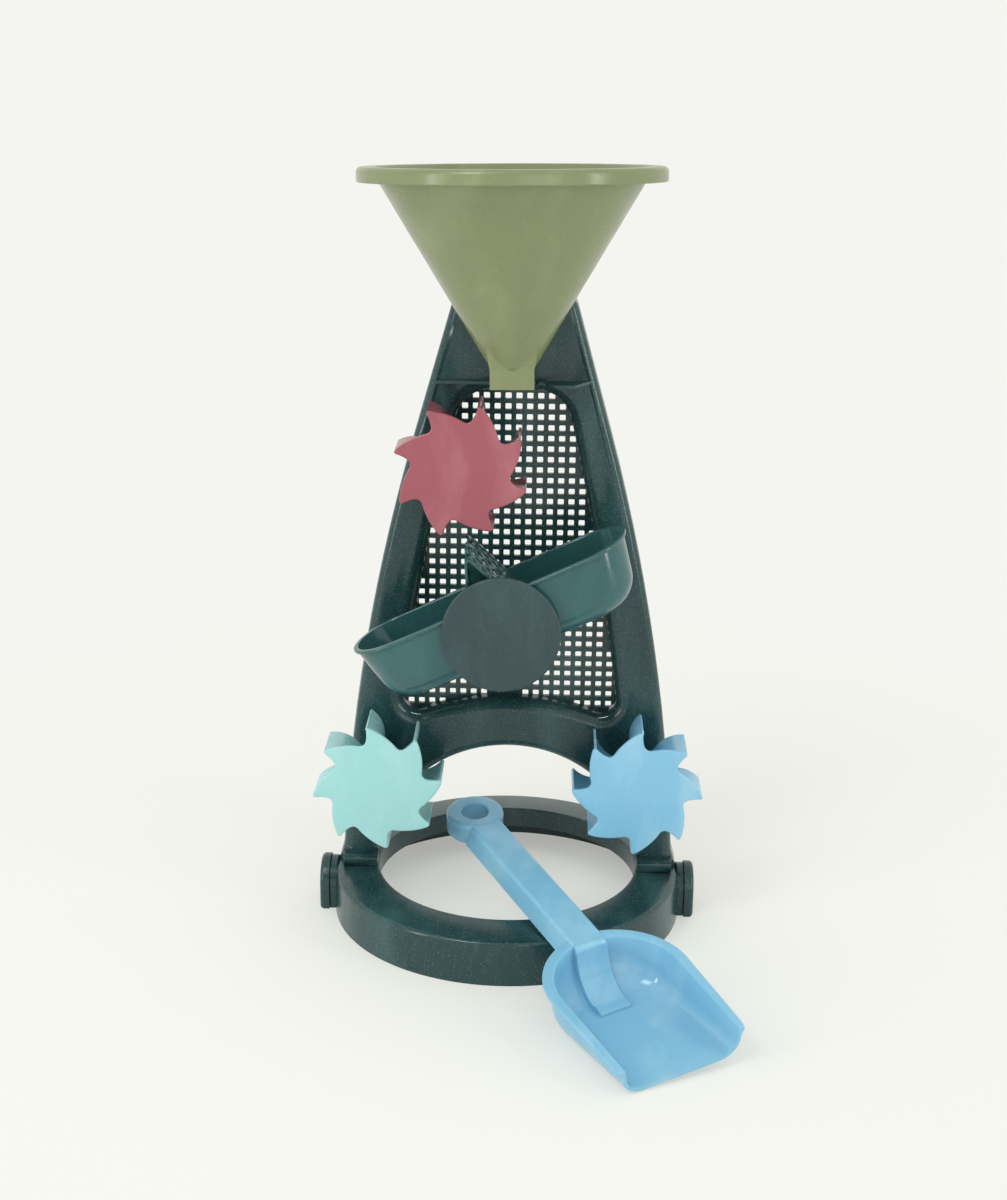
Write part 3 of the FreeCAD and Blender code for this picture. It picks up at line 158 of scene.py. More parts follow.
def turn_round(mesh, section, steps, place=Matrix()):
    """Sweeps a closed section of (radius, height) points once round the z axis"""
    loops = []
    for step in range(steps):
        turn = Matrix.Rotation(2 * math.pi * step / steps, 4, "Z")
        loops.append([mesh.verts.new(place @ turn @ Vector((point.x, 0, point.y)))
                      for point in section])
    for step, loop in enumerate(loops):
        following = loops[(step + 1) % steps]
        for item in range(len(section)):
            beside = (item + 1) % len(section)
            mesh.faces.new((loop[item], following[item], following[beside], loop[beside]))


def prism(mesh, outline, depth, place=Matrix()):
    """A flat outline given thickness along its own z"""
    low = [mesh.verts.new(place @ Vector((point.x, point.y, 0))) for point in outline]
    high = [mesh.verts.new(place @ Vector((point.x, point.y, depth))) for point in outline]
    mesh.faces.new(low[::-1])
    mesh.faces.new(high)
    for item in range(len(outline)):
        beside = (item + 1) % len(outline)
        mesh.faces.new((low[item], low[beside], high[beside], high[item]))


def tombstone(radius, centre_height, foot=0.0, steps=24):
    """A half circle over straight sides, as (across, up) points"""
    arc = [Vector((radius * math.cos(math.pi * step / steps),
                   centre_height + radius * math.sin(math.pi * step / steps)))
           for step in range(steps + 1)]
    return [Vector((-radius, foot)), Vector((radius, foot))] + arc


def sideways(x, side):
    """Stands a flat outline across x, its thickness growing outwards to one side"""
    return Matrix(((0, 0, side, x * side), (side, 0, 0, 0), (0, 1, 0, 0), (0, 0, 0, 1)))


def finished(mesh, name, finish, body, slot, *nodes, edge=0.0, even=False):
    """Turns a mesh drawn in millimetres into a piece that rides on a body; edge rounds its
    sharp edges, and even keeps its flat faces flat to the light"""
    bmesh.ops.remove_doubles(mesh, verts=mesh.verts, dist=0.001)
    bmesh.ops.recalc_face_normals(mesh, faces=mesh.faces)
    mesh.transform(Matrix.Scale(0.001, 4))
    data = bpy.data.meshes.new(name)
    mesh.to_mesh(data)
    mesh.free()
    data.materials.append(finish)
    data.shade_smooth()
    data.set_sharp_from_angle(angle=SHARP_ANGLE)
    piece = bpy.data.objects.new(name, data)
    bpy.context.scene.collection.objects.link(piece)
    if edge:
        rounding = piece.modifiers.new("edges", "BEVEL")
        rounding.width = edge / 1000
        rounding.segments = 3
        rounding.limit_method = "ANGLE"
        rounding.angle_limit = SHARP_ANGLE
        rounding.harden_normals = True
    if even:
        shading = piece.modifiers.new("flat_faces", "WEIGHTED_NORMAL")
        shading.keep_sharp = True
    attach(piece, body)
    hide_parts(*nodes)


dark_green = moulded("dark_green_moulded_polypropylene", "#1C3C3E", "#3C5F61", flow_mm=26,
                     flow_and_sheen_share=0.55, speck_share=0.3, rough=0.21, ripple_mm=9,
                     ripple_um=14)
ring = bmesh.new()
ring_section = [Vector(point) for point in (
    (RING_FOOT_RADIUS, 0.0), (RING_SHOULDER_RADIUS, RING_SHOULDER_HEIGHT),
    (RING_OPENING_RADIUS, RING_BROW_HEIGHT), (RING_OPENING_RADIUS, RING_SKIRT_HEIGHT),
    (RING_OPENING_RADIUS + RING_WALL, RING_SKIRT_HEIGHT),
    (RING_OPENING_RADIUS + RING_WALL, RING_BROW_HEIGHT - RING_ROOF),
    (RING_SHOULDER_RADIUS - RING_WALL, RING_SHOULDER_HEIGHT - RING_WALL),
    (RING_FOOT_RADIUS - RING_WALL, 0.0))]
turn_round(ring, softened(ring_section, RING_CORNERS), steps=180)
for side in (1, -1):
    prism(ring, tombstone(PAD_RADIUS, PEG_HEIGHT), PAD_THICKNESS, sideways(PAD_ROOT, side))
finished(ring, "ring_moulding", dark_green, "stand", "dark_green", "base_ring", edge=0.5)

# Foot plugs. Small moulded plugs of the same plastic, pushed through the ring's pads into
# the tower's tenons from each side, so that the tower can't lift out.

HEAD_RADIUS = 13.1
HEAD_THICKNESS = 5.25
HEAD_ROUND = 2.2
HEAD_CHAMFER = 0.3
HEAD_SEAT = 95.3
PEG_RADIUS = 4.0
PEG_LENGTH = 14.2
PEG_ROOT = 95.9
ON_AXIS = 0.01


def quarter(steps):
    """Angles from 0 to a quarter turn"""
    return [math.pi / 2 * step / steps for step in range(steps + 1)]


def skin_over(mesh, loops, close=True):
    """Joins a row of outlines with the same number of points into a tube or a closed shell"""
    rows = [[mesh.verts.new(point) for point in loop] for loop in loops]
    pairs = list(zip(rows, rows[1:] + rows[:1])) if close else list(zip(rows, rows[1:]))
    for row, following in pairs:
        for item in range(len(row)):
            beside = (item + 1) % len(row)
            mesh.faces.new((row[item], row[beside], following[beside], following[item]))
    return rows


head_levels = [(HEAD_CHAMFER, 0.0), (0.0, HEAD_CHAMFER)] + [
    (HEAD_ROUND * (1 - math.cos(turn)), HEAD_THICKNESS - HEAD_ROUND * (1 - math.sin(turn)))
    for turn in quarter(8)]
for side, name in ((-1, "left"), (1, "right")):
    plug = bmesh.new()
    head = skin_over(plug, [
        [sideways(HEAD_SEAT, side) @ Vector((point.x, point.y, out))
         for point in tombstone(HEAD_RADIUS - inset, PEG_HEIGHT, inset)]
        for inset, out in head_levels], close=False)
    plug.faces.new(head[0])
    plug.faces.new(head[-1])
    turn_round(plug, [Vector(point) for point in (
        (ON_AXIS, 0), (PEG_RADIUS, 0), (PEG_RADIUS, PEG_LENGTH), (ON_AXIS, PEG_LENGTH))],
        steps=24, place=Matrix.Translation((PEG_ROOT * side, 0, PEG_HEIGHT))
        @ Matrix.Rotation(-math.pi / 2 * side, 4, "Y"))
    finished(plug, name + "_plug_moulding", dark_green, "stand", "dark_green",
             name + "_foot_plug")

# Tower frame. One deep moulded tray, open at the back, with rounded front edges, a shelf
# below the funnel, a hollow for its cone, and bosses for the lower wheels' axles.


def from_solid(node):
    """The drawn solid's mesh in millimetres, its loose triangles joined"""
    mesh = bmesh.new()
    mesh.from_mesh(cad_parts[node].data)
    mesh.transform(Matrix.Scale(1000, 4))
    bmesh.ops.remove_doubles(mesh, verts=mesh.verts, dist=0.002)
    bmesh.ops.dissolve_limit(mesh, angle_limit=math.radians(0.3), verts=mesh.verts,
                             edges=mesh.edges)
    return mesh


finished(from_solid("tower_frame"), "tower_moulding", dark_green, "stand", "dark_green",
         "tower_frame", even=True)

# Axles. Short headed pins moulded in the same polypropylene and pushed in from behind,
# whose split and barbed tips snap into the hubs of the wheels and the bucket.

for name in ("upper_axle", "left_axle", "right_axle", "bucket_axle"):
    finished(from_solid(name), name + "_moulding", dark_green, "stand", "dark_green", name)

# Sieve grille. A thin moulded plate with rows of square holes, set into the back of the
# tower's opening, with solid rounds and bosses where the upper axles pass.

OPENING_HALF_FOOT = 57.4
OPENING_FOOT = 105.4
OPENING_HALF_TOP = 25.6
OPENING_TOP = 283.0
OPENING_ARCH_RADIUS = 133.0
OPENING_FLANK_RADIUS = 1350.0
OPENING_CORNERS = {0: 6.0, 12: 6.0, 20: 14.0, 21: 14.0}
SIEVE_OVERLAP = 2.3
SIEVE_BACK = 10.2
SIEVE_THICKNESS = 2.2
SIEVE_PITCH = 5.5
SIEVE_HOLE = 3.1
SIEVE_HOLE_CORNER = 0.5
SIEVE_MIDDLE = 193.25
UPPER_AXLE = Vector((-25.0, 249.0))
BUCKET_AXLE = Vector((-3.5, 173.4))
PLAIN_ROUND = Vector((-2.3, 137.4))
PLAIN_ROUND_RADIUS = 19.5
BOSS_FIELD_RADIUS = 10.5
BOSS_RADIUS = 7.0
BOSS_BACK = 13.2
UPPER_BOSS_FRONT = -9.2
BUCKET_BOSS_FRONT = -12.2
AXLE_BORE = 3.08


def bowed(start, end, radius, turn, steps):
    """Points of the shorter arc from start to end; turn is 1 when it runs anticlockwise"""
    chord = end - start
    rise = math.sqrt(radius ** 2 - (chord.length / 2) ** 2)
    across = Vector((-chord.y, chord.x)).normalized() * turn
    centre = (start + end) / 2 + across * rise
    first = math.atan2(start.y - centre.y, start.x - centre.x)
    sweep = 2 * math.asin(chord.length / 2 / radius) * turn
    return [centre + Vector((math.cos(first + sweep * step / steps),
                             math.sin(first + sweep * step / steps))) * radius
            for step in range(steps)]


def opening(margin):
    """The tower's opening, grown by a margin"""
    low = Vector((OPENING_HALF_FOOT + margin, OPENING_FOOT - margin))
    top = Vector((OPENING_HALF_TOP + margin, OPENING_TOP + margin))
    low_left = Vector((-low.x, low.y))
    top_left = Vector((-top.x, top.y))
    flat = (bowed(low_left, low, OPENING_ARCH_RADIUS, -1, 12)
            + bowed(low, top, OPENING_FLANK_RADIUS, 1, 8) + [top]
            + bowed(top_left, low_left, OPENING_FLANK_RADIUS, 1, 8))
    return softened(flat, OPENING_CORNERS, 8)


def outline_mesh(name, *loops):
    """Closed outlines in millimetres as a mesh of edges in metres"""
    mesh = bmesh.new()
    for loop in loops:
        corners = [mesh.verts.new((point.x / 1000, point.y / 1000, 0)) for point in loop]
        for item, corner in enumerate(corners):
            mesh.edges.new((corner, corners[item - 1]))
    data = bpy.data.meshes.new(name)
    mesh.to_mesh(data)
    mesh.free()
    piece = bpy.data.objects.new(name, data)
    bpy.context.scene.collection.objects.link(piece)
    return piece


def disc_outline(centre, radius, steps=32):
    """A circle as a flat outline"""
    return [Vector((centre.x + radius * math.cos(2 * math.pi * step / steps),
                    centre.y + radius * math.sin(2 * math.pi * step / steps)))
            for step in range(steps)]


def named_inputs(tree, wanted):
    """Gives a geometry tree its sockets and returns its group input's outputs"""
    tree.interface.new_socket("Geometry", in_out="OUTPUT", socket_type="NodeSocketGeometry")
    tree.interface.new_socket("Geometry", in_out="INPUT", socket_type="NodeSocketGeometry")
    for name, kind in wanted:
        tree.interface.new_socket(name, in_out="INPUT", socket_type="NodeSocket" + kind)
    return tree.nodes.new("NodeGroupInput").outputs


def grown(piece, tree, values):
    """The plain mesh that a geometry tree makes from a piece, which is then removed"""
    making = piece.modifiers.new("making", "NODES")
    making.node_group = tree
    for item in tree.interface.items_tree:
        if item.in_out == "INPUT" and item.name in values:
            making[item.identifier] = values[item.name]
    graph = bpy.context.evaluated_depsgraph_get()
    graph.update()
    data = bpy.data.meshes.new_from_object(piece.evaluated_get(graph), depsgraph=graph)
    piece.modifiers.remove(making)
    bpy.data.objects.remove(piece)
    mesh = bmesh.new()
    mesh.from_mesh(data)
    bpy.data.meshes.remove(data)
    mesh.transform(Matrix.Scale(1000, 4))
    return mesh


def perforated_sheet():
    """A tree that fills an outline, less a grid of rounded square holes wherever they lie
    inside the region, and gives the sheet its thickness"""
    tree = bpy.data.node_groups.new("perforated_sheet", "GeometryNodeTree")
    given = named_inputs(tree, (
        ("Region", "Object"), ("Middle", "Vector"), ("Pitch", "Float"),
        ("Row Pitch", "Float"), ("Stagger", "Float"), ("Columns", "Int"), ("Rows", "Int"),
        ("Hole", "Float"), ("Corner", "Float"), ("Thickness", "Float"),
        ("Finish", "Material")))

    # The holes' places, with every other column moved along by the stagger
    gaps_x = add_node(tree, "ShaderNodeMath", {
        0: given["Columns"], 1: 1.0}, operation="SUBTRACT")
    gaps_y = add_node(tree, "ShaderNodeMath", {
        0: given["Rows"], 1: 1.0}, operation="SUBTRACT")
    span_x = add_node(tree, "ShaderNodeMath", {
        0: gaps_x.outputs[0], 1: given["Pitch"]}, operation="MULTIPLY")
    span_y = add_node(tree, "ShaderNodeMath", {
        0: gaps_y.outputs[0], 1: given["Row Pitch"]}, operation="MULTIPLY")
    grid = add_node(tree, "GeometryNodeMeshGrid", {
        "Size X": span_x.outputs[0], "Size Y": span_y.outputs[0],
        "Vertices X": given["Columns"], "Vertices Y": given["Rows"]})
    order = add_node(tree, "GeometryNodeInputIndex", {})
    share = add_node(tree, "ShaderNodeMath", {
        0: order.outputs[0], 1: given["Rows"]}, operation="DIVIDE")
    column = add_node(tree, "ShaderNodeMath", {0: share.outputs[0]}, operation="FLOOR")
    odd = add_node(tree, "ShaderNodeMath", {0: column.outputs[0], 1: 2.0},
                   operation="MODULO")
    shift = add_node(tree, "ShaderNodeMath", {
        0: odd.outputs[0], 1: given["Stagger"]}, operation="MULTIPLY")
    aside = add_node(tree, "ShaderNodeCombineXYZ", {"Y": shift.outputs[0]})
    staggered = add_node(tree, "GeometryNodeSetPosition", {
        "Geometry": grid.outputs[0], "Offset": aside.outputs[0]})
    laid = add_node(tree, "GeometryNodeTransform", {
        "Geometry": staggered.outputs[0], "Translation": given["Middle"]})

    # Of these, only the ones over the region
    region = add_node(tree, "GeometryNodeObjectInfo", {"Object": given["Region"]})
    region_curve = add_node(tree, "GeometryNodeMeshToCurve", {0: region.outputs["Geometry"]})
    region_face = add_node(tree, "GeometryNodeFillCurve", {0: region_curve.outputs[0]})
    where = add_node(tree, "GeometryNodeInputPosition", {})
    above = add_node(tree, "ShaderNodeVectorMath", {
        0: where.outputs[0], 1: (0.0, 0.0, 0.01)}, operation="ADD")
    over = add_node(tree, "GeometryNodeRaycast", {
        "Target Geometry": region_face.outputs[0], "Source Position": above.outputs[0],
        "Ray Direction": (0.0, 0.0, -1.0), "Ray Length": 0.02})

    # The outline filled, less the holes
    square = add_node(tree, "GeometryNodeCurvePrimitiveQuadrilateral", {
        "Width": given["Hole"], "Height": given["Hole"]})
    hole = add_node(tree, "GeometryNodeFilletCurve", {
        "Curve": square.outputs[0], "Radius": given["Corner"], "Count": 3,
        "Limit Radius": True}, mode="POLY")
    spread = add_node(tree, "GeometryNodeInstanceOnPoints", {
        "Points": laid.outputs[0], "Instance": hole.outputs[0],
        "Selection": over.outputs["Is Hit"]})
    holes = add_node(tree, "GeometryNodeRealizeInstances", {0: spread.outputs[0]})
    edge_curve = add_node(tree, "GeometryNodeMeshToCurve", {0: given["Geometry"]})
    joined = add_node(tree, "GeometryNodeJoinGeometry", {0: edge_curve.outputs[0]})
    tree.links.new(holes.outputs[0], joined.inputs[0])
    sheet = add_node(tree, "GeometryNodeFillCurve", {0: joined.outputs[0]})

    # The sheet's thickness, closed underneath
    raised = add_node(tree, "GeometryNodeExtrudeMesh", {
        "Mesh": sheet.outputs[0], "Offset": (0.0, 0.0, 1.0),
        "Offset Scale": given["Thickness"], "Individual": False})
    under = add_node(tree, "GeometryNodeFlipFaces", {0: sheet.outputs[0]})
    whole = add_node(tree, "GeometryNodeJoinGeometry", {0: raised.outputs[0]})
    tree.links.new(under.outputs[0], whole.inputs[0])
    sealed = add_node(tree, "GeometryNodeMergeByDistance", {
        "Geometry": whole.outputs[0], "Distance": 1 * MICRON})
    loose = add_node(tree, "GeometryNodeRealizeInstances", {0: sealed.outputs[0]})
    painted = add_node(tree, "GeometryNodeSetMaterial", {
        "Geometry": loose.outputs[0], "Material": given["Finish"]})
    add_node(tree, "NodeGroupOutput", {0: painted.outputs[0]})
    return tree


def tube(mesh, outer, inner, start, end, centre, steps=48):
    """A round boss along y with a bore through it, round a centre given as (x, z)"""
    section = [Vector((outer, start)), Vector((outer, end)), Vector((inner, end)),
               Vector((inner, start))]
    turn_round(mesh, section, steps, Matrix.Translation((centre.x, 0, centre.y))
               @ Matrix.Rotation(-math.pi / 2, 4, "X"))


perforated = perforated_sheet()
solid_rounds = [disc_outline(UPPER_AXLE, BOSS_FIELD_RADIUS),
                disc_outline(BUCKET_AXLE, BOSS_FIELD_RADIUS),
                disc_outline(PLAIN_ROUND, PLAIN_ROUND_RADIUS)]
sieve_region = outline_mesh("sieve_region", opening(0.0), *solid_rounds)
sieve = grown(outline_mesh("sieve_outline", opening(SIEVE_OVERLAP)), perforated, {
    "Region": sieve_region, "Middle": (0.0, SIEVE_MIDDLE / 1000, 0.0),
    "Pitch": SIEVE_PITCH / 1000, "Row Pitch": SIEVE_PITCH / 1000, "Stagger": 0.0,
    "Columns": 22, "Rows": 34, "Hole": SIEVE_HOLE / 1000,
    "Corner": SIEVE_HOLE_CORNER / 1000, "Thickness": SIEVE_THICKNESS / 1000,
    "Finish": dark_green})
bpy.data.objects.remove(sieve_region)
sieve.transform(Matrix(((1, 0, 0, 0), (0, 0, -1, SIEVE_BACK), (0, 1, 0, 0), (0, 0, 0, 1))))
tube(sieve, BOSS_RADIUS, AXLE_BORE, UPPER_BOSS_FRONT, BOSS_BACK, UPPER_AXLE)
tube(sieve, BOSS_RADIUS, AXLE_BORE, BUCKET_BOSS_FRONT, BOSS_BACK, BUCKET_AXLE)
finished(sieve, "sieve_moulding", dark_green, "stand", "dark_green", "sieve_grille")

# Funnel. A thin conical hopper in olive polypropylene with a turned-down rim, its square
# spout standing in the shelf's notch. It isn't fixed, and lifts off upwards.

FUNNEL_PLACE = (-0.4, -18.4, 287.99)
FUNNEL_LEAN = (3.2, 0.9)
FUNNEL_WALL = 2.0
CONE_FOOT = 9.5
CONE_FOOT_RADIUS = 11.0
CONE_TOP = 97.0
CONE_SLOPE = (63.2 - CONE_FOOT_RADIUS) / (CONE_TOP - CONE_FOOT)
SPOUT_HALF = 10.8
SPOUT_BORE_HALF = SPOUT_HALF - FUNNEL_WALL
SPOUT_TOP = 9.4
SPOUT_FLARE = 2.2
FLARE_HEIGHT = 12.5
RIM_PROFILE = (
    (72.4, 103.2), (72.4, 98.6), (72.7, 98.3), (74.0, 98.3), (74.4, 98.8), (74.4, 103.0),
    (74.2, 103.9), (73.7, 104.7), (73.0, 105.2), (72.0, 105.4), (67.2, 105.4), (66.5, 105.2),
    (65.9, 104.5))


def cone_ring(height, wall, square_half, steps=144):
    """The funnel's outline at a height: the wider of its circle and its square"""
    circle = CONE_FOOT_RADIUS + (height - CONE_FOOT) * CONE_SLOPE - wall
    points = []
    for step in range(steps):
        angle = 2 * math.pi * step / steps
        flat = square_half / max(abs(math.cos(angle)), abs(math.sin(angle)))
        radius = max(circle if height >= CONE_FOOT else 0.0, flat)
        points.append(Vector((radius * math.cos(angle), radius * math.sin(angle), height)))
    return points


def round_ring(radius, height, steps=144):
    """A circle at a height, with as many points as the cone's outlines"""
    return [Vector((radius * math.cos(2 * math.pi * step / steps),
                    radius * math.sin(2 * math.pi * step / steps), height))
            for step in range(steps)]


olive = moulded("olive_moulded_polypropylene", "#7B835D", "#989E78", flow_mm=24,
                flow_and_sheen_share=0.4, speck_share=0.0, rough=0.24, ripple_mm=30, ripple_um=30)
spout = [cone_ring(height, 0.0, SPOUT_HALF) for height in (0.0, SPOUT_TOP)]
flared = [cone_ring(height, 0.0, SPOUT_HALF + (height - CONE_FOOT) / FLARE_HEIGHT * SPOUT_FLARE)
          for height in (9.5, 11.0, 12.5, 14.0, 15.5, 17.0, 18.5, 20.0, 21.5, 22.0)]
cone_out = [cone_ring(height, 0.0, 0.0)
            for height in (23.5, 40.0, 60.0, 80.0, CONE_TOP, 103.2)]
rim = [round_ring(radius, height) for radius, height in RIM_PROFILE]
cone_in = [cone_ring(height, FUNNEL_WALL, SPOUT_BORE_HALF if height <= 19.0 else 0.0)
           for height in (103.0, 80.0, 60.0, 40.0, 19.0, 17.0, 15.0, 13.0, 11.5, CONE_FOOT)]
mouth = [cone_ring(height, FUNNEL_WALL, SPOUT_BORE_HALF) for height in (SPOUT_TOP, 0.0)]
funnel = bmesh.new()
skin_over(funnel, spout + flared + cone_out + rim + cone_in + mouth)
leaning = Matrix.Rotation(-math.radians(math.hypot(*FUNNEL_LEAN)), 4,
                          Vector((*FUNNEL_LEAN, 0)))
funnel.transform(Matrix.Translation(FUNNEL_PLACE) @ leaning)
finished(funnel, "funnel_moulding", olive, "funnel", "olive", "funnel")

# Star wheels. Three moulded wheels with eight hooked teeth: a thin front plate, a curved
# vane behind each tooth that catches the sand, and a hub that snaps on the axle.

TEETH = 8
TOOTH_TURN = 360 / TEETH
VALLEY_RADIUS = 23.7
TIP_RADIUS = 34.6
TIP_TURN = 39.0
FLANK_RADIUS = 36.0
HOOK_RADIUS = 18.0
VALLEY_CUT = 2.6
TIP_CUT = 2.8
PLATE_FRONT = 28.5
PLATE_BACK = 26.6
PLATE_ROUND = 0.8
PLATE_CHAMFER = 0.3
VANE_DEPTH = 27.0
VANE_WALL = 1.3
VANE_RADIUS = 16.0
VANE_PATH = ((5.6, 25.2), (19.0, 25.6), (33.2, 38.6))
HUB_RADIUS = 6.2
HUB_MOUTH = 1.5
HUB_DEPTH = 21.5
WHEEL_BACK = -8.0
LEFT_AXLE = Vector((-67.0, 80.6))
RIGHT_AXLE = Vector((67.0, 80.6))


def round_the_axle():
    """A tree that repeats one tooth with its share of the wheel round the z axis"""
    tree = bpy.data.node_groups.new("teeth_round_axle", "GeometryNodeTree")
    given = named_inputs(tree, (("Teeth", "Int"), ("Finish", "Material")))
    spots = add_node(tree, "GeometryNodePoints", {"Count": given["Teeth"]})
    order = add_node(tree, "GeometryNodeInputIndex", {})
    share = add_node(tree, "ShaderNodeMath", {
        0: order.outputs[0], 1: given["Teeth"]}, operation="DIVIDE")
    angle = add_node(tree, "ShaderNodeMath", {
        0: share.outputs[0], 1: 2 * math.pi}, operation="MULTIPLY")
    about = add_node(tree, "ShaderNodeCombineXYZ", {"Z": angle.outputs[0]})
    teeth = add_node(tree, "GeometryNodeInstanceOnPoints", {
        "Points": spots.outputs[0], "Instance": given["Geometry"],
        "Rotation": about.outputs[0]})
    loose = add_node(tree, "GeometryNodeRealizeInstances", {0: teeth.outputs[0]})
    sealed = add_node(tree, "GeometryNodeMergeByDistance", {
        "Geometry": loose.outputs[0], "Distance": 2 * MICRON})
    painted = add_node(tree, "GeometryNodeSetMaterial", {
        "Geometry": sealed.outputs[0], "Material": given["Finish"]})
    add_node(tree, "NodeGroupOutput", {0: painted.outputs[0]})
    return tree


def around(radius, degrees):
    """A point round the wheel's axle"""
    return Vector((radius * math.cos(math.radians(degrees)),
                   radius * math.sin(math.radians(degrees))))


def eased(before, corner, after, steps=8):
    """The points between two others along a curve that turns at a corner"""
    shares = [step / steps for step in range(1, steps)]
    return [before * (1 - t) ** 2 + corner * 2 * t * (1 - t) + after * t * t for t in shares]


def tooth_outline():
    """One hooked tooth, from the middle of a rounded valley to the middle of the next"""
    valley, tip = around(VALLEY_RADIUS, 0.0), around(TIP_RADIUS, TIP_TURN)
    following = around(VALLEY_RADIUS, TOOTH_TURN)
    flank = [point for point in bowed(valley, tip, FLANK_RADIUS, 1, 30)
             if (point - valley).length > VALLEY_CUT and (point - tip).length > TIP_CUT]
    hook = [point for point in bowed(tip, following, HOOK_RADIUS, -1, 20)
            if (point - tip).length > TIP_CUT and (point - following).length > VALLEY_CUT]
    one_tooth = Matrix.Rotation(math.radians(TOOTH_TURN), 2)
    dip = eased(one_tooth.transposed() @ hook[-1], valley, flank[0])
    middle = len(dip) // 2
    return (dip[middle:] + flank + eased(flank[-1], tip, hook[0]) + hook
            + [one_tooth @ point for point in dip[:middle + 1]])


def strip(points, width):
    """A closed outline along a line, half its width to each side"""
    left, right = [], []
    for item, point in enumerate(points):
        run = points[min(item + 1, len(points) - 1)] - points[max(item - 1, 0)]
        aside = Vector((-run.y, run.x)).normalized() * width / 2
        left.append(point + aside)
        right.append(point - aside)
    return right + left[::-1]


def wheel_sector():
    """One eighth of the wheel: its share of the front plate, and one curved vane"""
    outline = tooth_outline()
    one_tooth = Matrix.Rotation(math.radians(TOOTH_TURN), 2)
    ends = [one_tooth.transposed() @ outline[-2]] + outline + [one_tooth @ outline[1]]
    levels = [(PLATE_ROUND * (1 - math.sin(turn)),
               PLATE_FRONT - PLATE_ROUND * (1 - math.cos(turn))) for turn in quarter(5)]
    levels += [(0.0, PLATE_BACK + PLATE_CHAMFER), (PLATE_CHAMFER, PLATE_BACK)]
    mesh = bmesh.new()
    rows = []
    for shrink, height in levels:
        row = []
        for item, point in enumerate(outline):
            run = (ends[item + 2] - ends[item]).normalized()
            row.append(mesh.verts.new((point.x - run.y * shrink, point.y + run.x * shrink,
                                       height)))
        rows.append(row)
    for row, following in zip(rows, rows[1:]):
        for item in range(len(row) - 1):
            mesh.faces.new((row[item], following[item], following[item + 1], row[item + 1]))
    mesh.faces.new([mesh.verts.new((0, 0, PLATE_FRONT))] + rows[0])
    mesh.faces.new([mesh.verts.new((0, 0, PLATE_BACK))] + rows[-1][::-1])
    root, bend, end = (around(*spot) for spot in VANE_PATH)
    vane = [root] + bowed(bend, end, VANE_RADIUS, 1, 12) + [end]
    prism(mesh, strip(vane, VANE_WALL), VANE_DEPTH)
    mesh.transform(Matrix.Scale(0.001, 4))
    data = bpy.data.meshes.new("wheel_sector")
    mesh.to_mesh(data)
    mesh.free()
    sector = bpy.data.objects.new("wheel_sector", data)
    bpy.context.scene.collection.objects.link(sector)
    return sector


def star_wheel(name, finish, axle, tip_at, slot, flip=1):
    """A wheel on its axle, one of its tips pointing at an angle up from x; flip is -1 for a
    wheel whose teeth hook the other way"""
    mesh = grown(wheel_sector(), teeth_round_axle, {"Teeth": TEETH, "Finish": finish})
    turn_round(mesh, [Vector(point) for point in (
        (HUB_RADIUS, VANE_DEPTH), (HUB_RADIUS, HUB_MOUTH + 0.4), (HUB_RADIUS - 0.3, HUB_MOUTH),
        (AXLE_BORE + 0.32, HUB_MOUTH), (AXLE_BORE, HUB_MOUTH + 0.3), (AXLE_BORE, HUB_DEPTH),
        (ON_AXIS, HUB_DEPTH), (ON_AXIS, VANE_DEPTH))], steps=64)
    facing = Matrix(((flip, 0, 0, 0), (0, 0, -1, 0), (0, 1, 0, 0), (0, 0, 0, 1)))
    held = TIP_TURN if flip > 0 else 180 - TIP_TURN
    mesh.transform(Matrix.Translation((axle.x, WHEEL_BACK, axle.y)) @ Matrix.Rotation(
        math.radians(held - tip_at), 4, "Y") @ facing)
    finished(mesh, name + "_moulding", finish, name, slot, name)


teeth_round_axle = round_the_axle()
# The rose wheel's paler streaks are partly a painted highlight, for the wavy reflections on its
# glossy front
rose = moulded("rose_moulded_polypropylene", "#98505A", "#B87D84", flow_mm=30,
               flow_and_sheen_share=0.5, speck_share=0.0, rough=0.13, ripple_mm=13, ripple_um=170)
mint = moulded("mint_moulded_polypropylene", "#98CDCD", "#B8DEDD", flow_mm=26,
               flow_and_sheen_share=0.4, speck_share=0.0, rough=0.24, ripple_mm=14, ripple_um=40)
sky = moulded("sky_moulded_polypropylene", "#7EB8D6", "#ABD4E5", flow_mm=26,
              flow_and_sheen_share=0.5, speck_share=0.0, rough=0.13, ripple_mm=16, ripple_um=40)
star_wheel("upper_wheel", rose, UPPER_AXLE, tip_at=30.3, slot="rose")
star_wheel("left_wheel", mint, LEFT_AXLE, tip_at=9.8, slot="mint")
star_wheel("right_wheel", sky, RIGHT_AXLE, tip_at=-3.8, slot="sky", flip=-1)

# Tipping bucket. A long trough with round ends in glossy teal polypropylene, rolled over
# at its rim, that rocks on an axle through its middle as the sand fills one side.

BUCKET_TIP = -25.4
BUCKET_BACK = -12.5
BUCKET_HALF_LENGTH = 73.5
BUCKET_HALF_WIDTH = 21.75
BUCKET_RIM = 17.5
BUCKET_FLOOR = -16.5
BUCKET_WALL = 1.8
BUCKET_BOTTOM_ROUND = 13.0
LENGTH_DRAFT = 7.0
WIDTH_DRAFT = 1.6
BEAD_PROFILE = (
    (0.5, 1.8), (0.1, 1.5), (0.0, 1.0), (0.0, -0.5), (0.2, -0.9), (0.6, -1.15), (1.0, -1.2),
    (1.5, -1.1), (1.9, -0.8), (2.0, -0.2), (2.2, 0.0))
BUCKET_HUB_RADIUS = 6.5
BUCKET_HUB_BORE = 2.9
BUCKET_HUB_FRONT = -45.9


